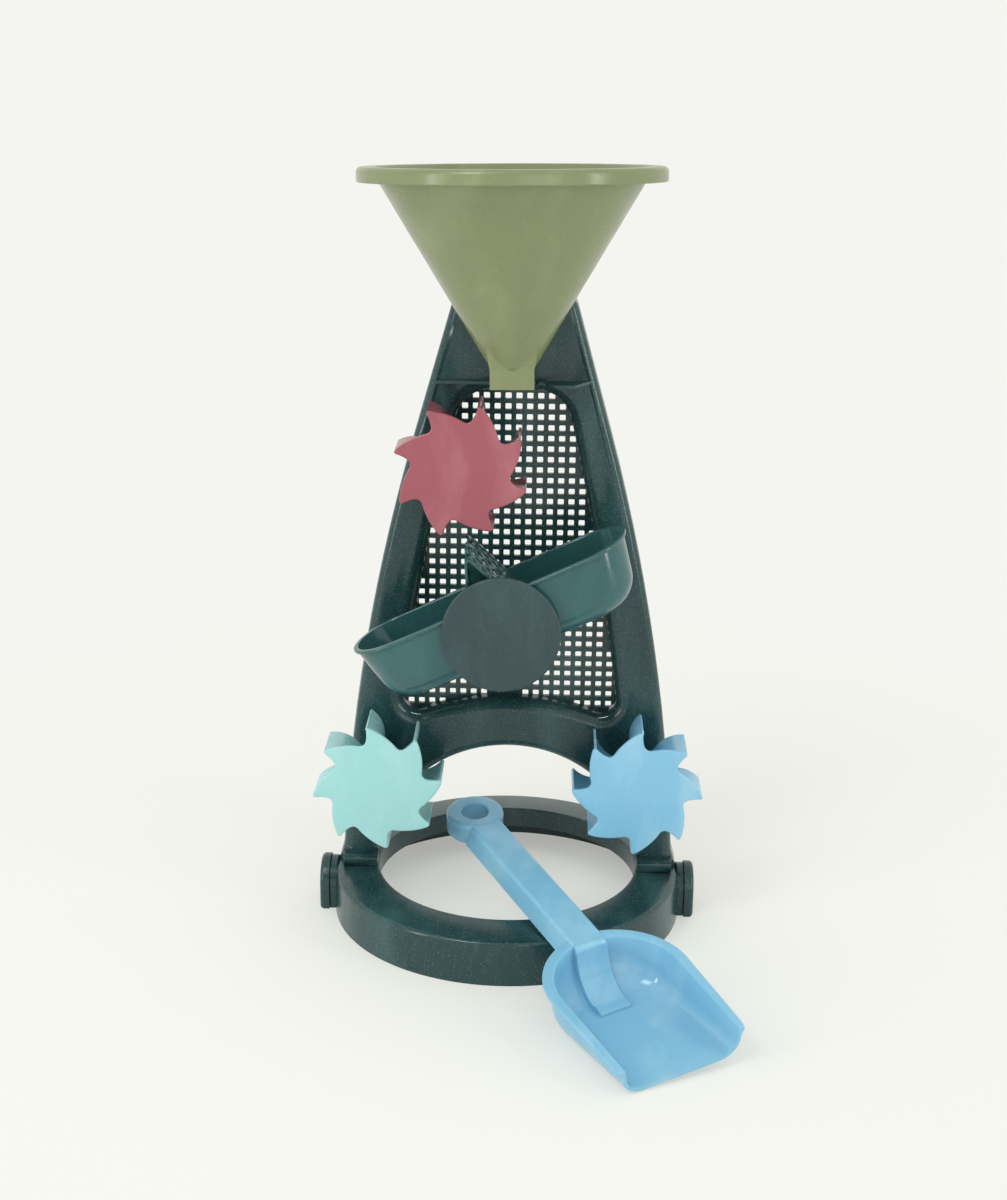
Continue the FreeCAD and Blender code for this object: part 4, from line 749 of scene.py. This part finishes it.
def trough_ring(height, inset, steps=28):
    """The trough's outline with round ends at a height, pulled in by an inset"""
    down = (BUCKET_RIM - height) / (BUCKET_RIM - BUCKET_FLOOR)
    length = BUCKET_HALF_LENGTH - LENGTH_DRAFT * down - inset
    radius = BUCKET_HALF_WIDTH - WIDTH_DRAFT * down - inset
    points = []
    for side, start in ((1, -90), (-1, 90)):
        for step in range(steps + 1):
            turn = math.radians(start + 180 * step / steps)
            points.append(Vector((side * (length - radius) + radius * math.cos(turn),
                                  -BUCKET_HALF_WIDTH + radius * math.sin(turn), height)))
    return points


def bottom_rings(wall):
    """The rounded bottom of the trough's outside, or with a wall of its inside, upwards"""
    bend = BUCKET_BOTTOM_ROUND - wall
    return [trough_ring(BUCKET_FLOOR + wall + bend * (1 - math.sin(turn)),
                        wall + bend * (1 - math.cos(turn))) for turn in quarter(8)[::-1]]


teal = moulded("teal_moulded_polypropylene", "#2C5758", "#447573", flow_mm=30,
               flow_and_sheen_share=0.4, speck_share=0.1, rough=0.15, ripple_mm=18, ripple_um=70)
rocked = Matrix.Translation((BUCKET_AXLE.x, BUCKET_BACK, BUCKET_AXLE.y)) @ Matrix.Rotation(
    math.radians(BUCKET_TIP), 4, "Y")
bucket = bmesh.new()
beads = [trough_ring(BUCKET_RIM - drop, inset) for drop, inset in BEAD_PROFILE]
walls = skin_over(bucket, bottom_rings(BUCKET_WALL) + beads + bottom_rings(0.0)[::-1],
                  close=False)
bucket.faces.new(walls[0])
bucket.faces.new(walls[-1])
tube(bucket, BUCKET_HUB_RADIUS, BUCKET_HUB_BORE, BUCKET_HUB_FRONT, 0.0, Vector((0, 0)))
bucket.transform(rocked)
finished(bucket, "bucket_moulding", teal, "bucket", "teal", "tipping_bucket")

# Bucket divider. A perforated sheet of the same plastic folded to an upside-down V, which
# stands across the trough and parts the sand to its two ends. It has a small bead along its
# front edge, and a plain web 13 mm behind that.

FOLD_HEIGHT = 43.8
FOLD_HALF_ANGLE = math.radians(21.5)
FOLD_RADIUS = 2.2
FOLD_WALL = 0.9
DIVIDER_HALF_WIDTH = 19.65
DIVIDER_HALF_FOOT = 19.0
DIVIDER_BACK = -2.1
LEG_START = 5.4
LEG_LENGTH = 62.6
LEG_CORNER = 11.0
DIVIDER_HOLE = 4.7
HOLES_START = 3.0
HOLES_END = 27.4
COLUMN_PITCH = 6.0
ROW_PITCH = 7.0
BEAD_WALL = 1.1
BEAD_DEPTH = 1.3
BEAD_LENGTH = 45.5
BEAD_BACK = -40.15
WEB_WALL = 1.0
WEB_BACK = -27.0
WEB_TOP = FOLD_HEIGHT - 1.6
WEB_DROP = 48.0


def take_in(mesh, part):
    """Moves another mesh's faces into this one"""
    spare = bpy.data.meshes.new("spare")
    part.to_mesh(spare)
    part.free()
    mesh.from_mesh(spare)
    bpy.data.meshes.remove(spare)


def over_fold(radius, steps=12):
    """Points over the divider's fold, from its right leg to its left"""
    first = FOLD_HALF_ANGLE
    sweep = math.pi - 2 * FOLD_HALF_ANGLE
    centre = FOLD_HEIGHT - FOLD_RADIUS / math.sin(FOLD_HALF_ANGLE)
    return [Vector((radius * math.cos(first + sweep * step / steps),
                    centre + radius * math.sin(first + sweep * step / steps)))
            for step in range(steps + 1)]


def standing(y):
    """Stands a flat outline up across the trough, its thickness growing to the front"""
    return Matrix.Translation((0, y, 0)) @ Matrix((
        (1, 0, 0, 0), (0, 0, -1, 0), (0, 1, 0, 0), (0, 0, 0, 1)))


leg_outline = softened([Vector(point) for point in (
    (-DIVIDER_HALF_WIDTH, LEG_START), (DIVIDER_HALF_WIDTH, LEG_START),
    (DIVIDER_HALF_FOOT, LEG_LENGTH), (-DIVIDER_HALF_FOOT, LEG_LENGTH))],
    {2: LEG_CORNER, 3: LEG_CORNER}, 8)
leg_area = [Vector(point) for point in (
    (-DIVIDER_HALF_FOOT, HOLES_START), (DIVIDER_HALF_FOOT, HOLES_START),
    (DIVIDER_HALF_FOOT, HOLES_END), (-DIVIDER_HALF_FOOT, HOLES_END))]
divider = bmesh.new()
for side in (1, -1):
    leg_region = outline_mesh("leg_region", leg_area)
    leg = grown(outline_mesh("leg_outline", leg_outline), perforated, {
        "Region": leg_region, "Middle": (0.0, 0.0170, 0.0),
        "Pitch": COLUMN_PITCH / 1000, "Row Pitch": ROW_PITCH / 1000,
        "Stagger": -ROW_PITCH / 2000, "Columns": 6, "Rows": 4,
        "Hole": DIVIDER_HOLE / 1000, "Corner": 0.0023, "Thickness": FOLD_WALL / 1000,
        "Finish": teal})
    bpy.data.objects.remove(leg_region)
    down = Vector((math.sin(FOLD_HALF_ANGLE) * side, 0, -math.cos(FOLD_HALF_ANGLE)))
    inward = Vector((-math.cos(FOLD_HALF_ANGLE) * side, 0, -math.sin(FOLD_HALF_ANGLE)))
    leg.transform(Matrix((
        (0, down.x, inward.x, 0), (1, down.y, inward.y, -BUCKET_HALF_WIDTH),
        (0, down.z, inward.z, FOLD_HEIGHT), (0, 0, 0, 1))))
    take_in(divider, leg)
fold = over_fold(FOLD_RADIUS) + over_fold(FOLD_RADIUS - FOLD_WALL)[::-1]
prism(divider, fold, 2 * DIVIDER_HALF_WIDTH, standing(DIVIDER_BACK))
bend_line = over_fold(FOLD_RADIUS - BEAD_WALL / 2)
leg_run = Vector((math.sin(FOLD_HALF_ANGLE), -math.cos(FOLD_HALF_ANGLE))) * BEAD_LENGTH
bead = [bend_line[0] + leg_run] + bend_line + [
    bend_line[-1] + Vector((-leg_run.x, leg_run.y))]
prism(divider, strip(bead, BEAD_WALL), BEAD_DEPTH, standing(BEAD_BACK))
web_half = WEB_DROP * math.tan(FOLD_HALF_ANGLE)
web = [Vector((0, WEB_TOP)), Vector((-web_half, WEB_TOP - WEB_DROP)),
       Vector((web_half, WEB_TOP - WEB_DROP))]
prism(divider, web, WEB_WALL, standing(WEB_BACK))
divider.transform(rocked)
finished(divider, "divider_moulding", teal, "bucket", "teal", "bucket_divider")

# Bucket disc. A plain round cover moulded in slate polypropylene and pushed into the
# hub's front, where it hides the axle.

DISC_RADIUS = 29.2
DISC_BACK = -BUCKET_HUB_FRONT
DISC_FRONT = DISC_BACK + 2.0
DISC_CORNERS = {1: 0.6, 2: 1.2}

slate = moulded("slate_moulded_polypropylene", "#283E42", "#3D5457", flow_mm=16,
                flow_and_sheen_share=0.5, speck_share=0.07, rough=0.36, ripple_mm=22, ripple_um=20)
disc = bmesh.new()
disc_section = [Vector(point) for point in (
    (ON_AXIS, DISC_BACK), (DISC_RADIUS, DISC_BACK), (DISC_RADIUS, DISC_FRONT),
    (ON_AXIS, DISC_FRONT))]
turn_round(disc, softened(disc_section, DISC_CORNERS), 128,
           Matrix.Rotation(math.pi / 2, 4, "X"))
disc.transform(rocked)
finished(disc, "disc_moulding", slate, "bucket", "slate", "bucket_disc")

# Shovel. A loose scoop with a flanged rim and a hollow-backed handle that runs down into
# it as a rib and ends in a hanging eye, moulded in one piece in sky blue polypropylene.

SHOVEL_PLACE = (84.15, -174.3, 2.65)
SHOVEL_YAW = 29.5
SHOVEL_RISE = 9.2
SHOVEL_ROLL = -5.5
FLOOR_DROP = math.tan(math.radians(SHOVEL_RISE))
RIM = 15.0
SCOOP_WALL = 2.0
SCOOP_FRONT_HALF = 30.2
SCOOP_BACK_RADIUS = 31.2
SCOOP_STRAIGHT = 56.0
FLANGE_FRONT = 4.0
FLANGE_GROWTH = 2.0
RIB_WIDTH = 17.2
RIB_FOOT = 58.0
RIB_BACK = 67.2
RIB_ROUND = 1.6
HANDLE_TOP = 16.2
HANDLE_FOOT = 5.5
HANDLE_START = 86.6
HANDLE_LENGTH = 110.9
EYE_DISTANCE = 209.5
EYE_RADII = (7.4, 15.4)
EYE_HEIGHTS = (4.5, 16.5)
EYE_CORNERS = {0: 0.8, 1: 2.6, 2: 2.6, 3: 1.0}


def rim_places():
    """Places round the scoop's inner rim from its front right to its front left: the point,
    the way outwards, and how far round the back it is, from 0 to 1"""
    along = [0.0, 0.4, 1.0, 1.8, 2.8, 4.0] + [
        SCOOP_STRAIGHT * step / 10 for step in range(1, 10)]
    spread = (SCOOP_BACK_RADIUS - SCOOP_FRONT_HALF) / SCOOP_STRAIGHT
    right = [(Vector((SCOOP_FRONT_HALF + y * spread, y)), Vector((1, 0)), 0.0) for y in along]
    back = []
    for step in range(49):
        turn = math.pi * step / 48
        out = Vector((math.cos(turn), math.sin(turn)))
        back.append((Vector((0, SCOOP_STRAIGHT)) + out * SCOOP_BACK_RADIUS, out,
                     math.sin(turn) ** 2))
    left = [(Vector((-point.x, point.y)), -out, round_back)
            for point, out, round_back in right[::-1]]
    return right + back + left


def scoop_section(point, out, round_back):
    """The scoop's wall cut at one place of its rim, from the floor over the flange's edge
    and back under to the floor"""
    reach = 10.0 + 10.0 * round_back
    rise = 8.0 + 14.0 * round_back
    flange = (FLANGE_FRONT + FLANGE_GROWTH * min(1.0, point.y / 60)
              - 1.1 * max(0.0, 1 - point.y / 4) ** 2)
    floor = SCOOP_WALL - (point.y - out.y * reach) * FLOOR_DROP
    line = [(-reach + (reach - 0.5) * math.sin(turn), floor + rise * (1 - math.cos(turn)))
            for turn in quarter(12)]
    line += [(0.0, RIM - 0.9), (0.3, RIM - 0.2), (1.0, RIM), (flange - 0.8, RIM),
             (flange - 0.2, RIM - 0.2), (flange, RIM - 0.8), (flange - 0.1, RIM - 1.4),
             (flange - 0.5, RIM - 1.8), (2.3, RIM - 1.9), (1.8, RIM - 2.5)]
    line += [(-reach + (reach + 1.3) * math.sin(turn),
              floor - SCOOP_WALL + (rise + SCOOP_WALL) * (1 - math.cos(turn)))
             for turn in quarter(12)[::-1]]
    return [Vector((point.x + out.x * aside, point.y + out.y * aside, up))
            for aside, up in line]


def handle_rib():
    """The flat-topped rib from the handle's start down to the scoop's floor"""
    foot = -RIB_FOOT * FLOOR_DROP
    floor = -RIB_BACK * FLOOR_DROP
    front = [Vector((RIB_FOOT, foot + 4.0))]
    front += [Vector((63.5 + 18.7 * math.sin(turn), floor + 4.4 + 20.1 * (1 - math.cos(turn))))
              for turn in quarter(16)]
    front += [Vector((84.7 - 2.5 * math.cos(turn), HANDLE_TOP - 2.5 + 2.5 * math.sin(turn)))
              for turn in quarter(6)[1:]]
    front.append(Vector((HANDLE_START, HANDLE_TOP)))
    under = [Vector((RIB_BACK + 20.7 * math.sin(turn),
                     floor + 1.0 + 22.5 * (1 - math.cos(turn))))
             for turn in quarter(10)[8::-1]]
    side = [Vector((RIB_FOOT, foot + 1.0))] + front + [Vector((HANDLE_START, 6.0))] + under
    mesh = bmesh.new()
    prism(mesh, side, RIB_WIDTH, Matrix(((0, 0, 1, -RIB_WIDTH / 2), (1, 0, 0, 0),
                                         (0, 1, 0, 0), (0, 0, 0, 1))))
    # Both long edges of the front are rounded, and the upper edge of the foot
    mesh.verts.index_update()
    shown = set(range(1, 1 + len(front)))
    shown_edges = []
    for edge in mesh.edges:
        places = {vertex.index % len(side) for vertex in edge.verts}
        if places <= shown and (len(places) == 2 or places == {1}):
            shown_edges.append(edge)
    bmesh.ops.bevel(mesh, geom=shown_edges, offset=RIB_ROUND, segments=4, profile=0.5,
                    affect="EDGES")
    return mesh


shovel = bmesh.new()
cuts = [[shovel.verts.new(point) for point in scoop_section(*place)] for place in rim_places()]
for cut, following in zip(cuts, cuts[1:]):
    for item in range(len(cut) - 1):
        shovel.faces.new((cut[item], cut[item + 1], following[item + 1], following[item]))
shovel.faces.new([cut[0] for cut in cuts])
shovel.faces.new([cut[-1] for cut in cuts[::-1]])
shovel.faces.new(cuts[0])
shovel.faces.new(cuts[-1][::-1])
shovel.faces.new((cuts[0][0], cuts[0][-1], cuts[-1][-1], cuts[-1][0]))
take_in(shovel, handle_rib())
handle_section = softened([Vector(point) for point in (
    (-11.6, HANDLE_FOOT), (-8.6, HANDLE_TOP), (8.6, HANDLE_TOP), (11.6, HANDLE_FOOT),
    (9.7, HANDLE_FOOT), (6.9, HANDLE_TOP - 2), (-6.9, HANDLE_TOP - 2), (-9.7, HANDLE_FOOT))],
    {1: 1.9, 2: 1.9})
prism(shovel, handle_section, HANDLE_LENGTH, Matrix((
    (1, 0, 0, 0), (0, 0, 1, HANDLE_START), (0, 1, 0, 0), (0, 0, 0, 1))))
eye_section = [Vector((EYE_RADII[far], EYE_HEIGHTS[high]))
               for far, high in ((0, 0), (1, 0), (1, 1), (0, 1))]
turn_round(shovel, softened(eye_section, EYE_CORNERS), 72,
           Matrix.Translation((0, EYE_DISTANCE, 0)))
laid_down = (Matrix.Rotation(math.radians(SHOVEL_YAW), 4, "Z")
             @ Matrix.Rotation(math.radians(SHOVEL_RISE), 4, "X")
             @ Matrix.Rotation(math.radians(SHOVEL_ROLL), 4, "Y"))
shovel.transform(Matrix.Translation(SHOVEL_PLACE) @ laid_down)
finished(shovel, "shovel_moulding", sky, "shovel", "sky", "shovel", edge=0.3)

# Studio. A pale floor that fades into the same pale backdrop, dimmer surroundings above
# and behind the camera, soft lamps in front and beside, and the photograph's camera.

PALE = "#F4F5F0"
FLOOR_PAINT = "#EBECE7"
FLOOR_RADIUS = 40.0
TOY_MIDDLE = Vector((0, 0, 0.16))
CAMERA_PLACE = (0.01640, -0.91515, 0.46210)
CAMERA_YAW, CAMERA_PITCH, CAMERA_ROLL = 1.266, 17.546, -0.747
CAMERA_LENS_MM = 55.59


def pale_floor():
    """Pale paint that takes the toy's shadow, and glows as pale as the backdrop where it is
    seen, more so further away, so that no horizon shows"""
    finish = bpy.data.materials.new("pale_painted_floor")
    finish.use_nodes = True
    tree = finish.node_tree
    tree.nodes.clear()
    seen = add_node(tree, "ShaderNodeLightPath", {})
    shown = add_node(tree, "ShaderNodeMath", {
        0: seen.outputs["Is Camera Ray"], 1: seen.outputs["Is Glossy Ray"]}, operation="ADD")
    shown = add_node(tree, "ShaderNodeMath", {
        0: shown.outputs[0], 1: seen.outputs["Is Transmission Ray"]}, operation="ADD")
    spot = add_node(tree, "ShaderNodeTexCoord", {})
    reach = add_node(tree, "ShaderNodeVectorMath", {0: spot.outputs["Object"]},
                     operation="LENGTH")
    faded = add_node(tree, "ShaderNodeMapRange", {
        "Value": reach.outputs["Value"], "From Min": 0.06, "From Max": 0.6, "To Min": 0.42},
        interpolation_type="SMOOTHSTEP")
    share = add_node(tree, "ShaderNodeMath", {
        0: faded.outputs[0], 1: shown.outputs[0]}, operation="MULTIPLY", use_clamp=True)
    paint = add_node(tree, "ShaderNodeBsdfDiffuse", {"Color": linear(FLOOR_PAINT)})
    glow = add_node(tree, "ShaderNodeEmission", {"Color": linear(PALE)})
    either = add_node(tree, "ShaderNodeMixShader", {
        0: share.outputs[0], 1: paint.outputs[0], 2: glow.outputs[0]})
    add_node(tree, "ShaderNodeOutputMaterial", {"Surface": either.outputs[0]})
    return finish


def pale_studio():
    """Surroundings as pale as the floor near the horizon and overhead, with a dimmer band
    between on the camera's side, which glossy plastic shows as shade"""
    world = bpy.data.worlds.new("pale_studio")
    world.use_nodes = True
    tree = world.node_tree
    tree.nodes.clear()
    way = add_node(tree, "ShaderNodeTexCoord", {})
    aim = add_node(tree, "ShaderNodeSeparateXYZ", {0: way.outputs["Generated"]})
    walls = add_node(tree, "ShaderNodeMapRange", {
        "Value": aim.outputs["Y"], "From Min": -0.35, "From Max": 0.1, "To Min": 0.1,
        "To Max": 1.0}, interpolation_type="SMOOTHSTEP")
    backdrop = add_node(tree, "ShaderNodeMapRange", {
        "Value": aim.outputs["Z"], "From Min": 0.22, "From Max": 0.34, "To Min": 1.0,
        "To Max": 0.0}, interpolation_type="SMOOTHSTEP")
    overhead = add_node(tree, "ShaderNodeMapRange", {
        "Value": aim.outputs["Z"], "From Min": 0.34, "From Max": 0.62},
        interpolation_type="SMOOTHSTEP")
    pale = add_node(tree, "ShaderNodeMath", {
        0: overhead.outputs[0], 1: backdrop.outputs[0]}, operation="MAXIMUM")
    level = add_node(tree, "ShaderNodeMix", {
        0: pale.outputs[0], 2: walls.outputs[0], 3: 1.0})
    drop = add_node(tree, "ShaderNodeBackground", {
        "Color": linear(PALE), "Strength": level.outputs[0]})
    add_node(tree, "ShaderNodeOutputWorld", {"Surface": drop.outputs[0]})
    return world


def soft_lamp(name, place, width, height, watts):
    """A softbox that faces the middle of the toy"""
    data = bpy.data.lights.new(name, "AREA")
    data.shape = "RECTANGLE"
    data.size = width
    data.size_y = height
    data.energy = watts
    lamp = bpy.data.objects.new(name, data)
    lamp.location = place
    lamp.rotation_euler = (TOY_MIDDLE - Vector(place)).to_track_quat("-Z", "Y").to_euler()
    bpy.context.scene.collection.objects.link(lamp)


floor_mesh = bmesh.new()
bmesh.ops.create_circle(floor_mesh, cap_ends=True, segments=96, radius=FLOOR_RADIUS)
floor_data = bpy.data.meshes.new("floor")
floor_mesh.to_mesh(floor_data)
floor_mesh.free()
floor_data.materials.append(pale_floor())
floor = bpy.data.objects.new("floor", floor_data)
bpy.context.scene.collection.objects.link(floor)
bpy.context.scene.world = pale_studio()

soft_lamp("key_softbox", (-0.8, -1.1, 1.6), width=0.6, height=0.6, watts=9.0)
soft_lamp("front_softbox", (0.9, -2.4, 0.8), width=1.2, height=1.2, watts=6.0)
soft_lamp("left_strip", (-1.3, -0.9, 0.5), width=0.16, height=1.2, watts=6.0)
soft_lamp("right_strip", (1.4, -0.7, 0.5), width=0.16, height=1.2, watts=6.0)

camera_data = bpy.data.cameras.new("camera")
camera_data.lens = CAMERA_LENS_MM
camera_data.sensor_width = 36.0
camera_data.clip_end = 100.0
camera = bpy.data.objects.new("camera", camera_data)
yaw, pitch, roll = (math.radians(value) for value in (CAMERA_YAW, CAMERA_PITCH, CAMERA_ROLL))
sight = Vector((-math.sin(yaw) * math.cos(pitch), math.cos(yaw) * math.cos(pitch),
                -math.sin(pitch)))
level_right = Vector((math.cos(yaw), math.sin(yaw), 0.0))
level_down = sight.cross(level_right)
right = level_right * math.cos(roll) + level_down * math.sin(roll)
down = level_down * math.cos(roll) - level_right * math.sin(roll)
camera.matrix_world = Matrix((
    (right.x, -down.x, -sight.x, CAMERA_PLACE[0]),
    (right.y, -down.y, -sight.y, CAMERA_PLACE[1]),
    (right.z, -down.z, -sight.z, CAMERA_PLACE[2]), (0, 0, 0, 1)))
bpy.context.scene.collection.objects.link(camera)
bpy.context.scene.camera = camera
bpy.context.scene.view_settings.view_transform = "Standard"
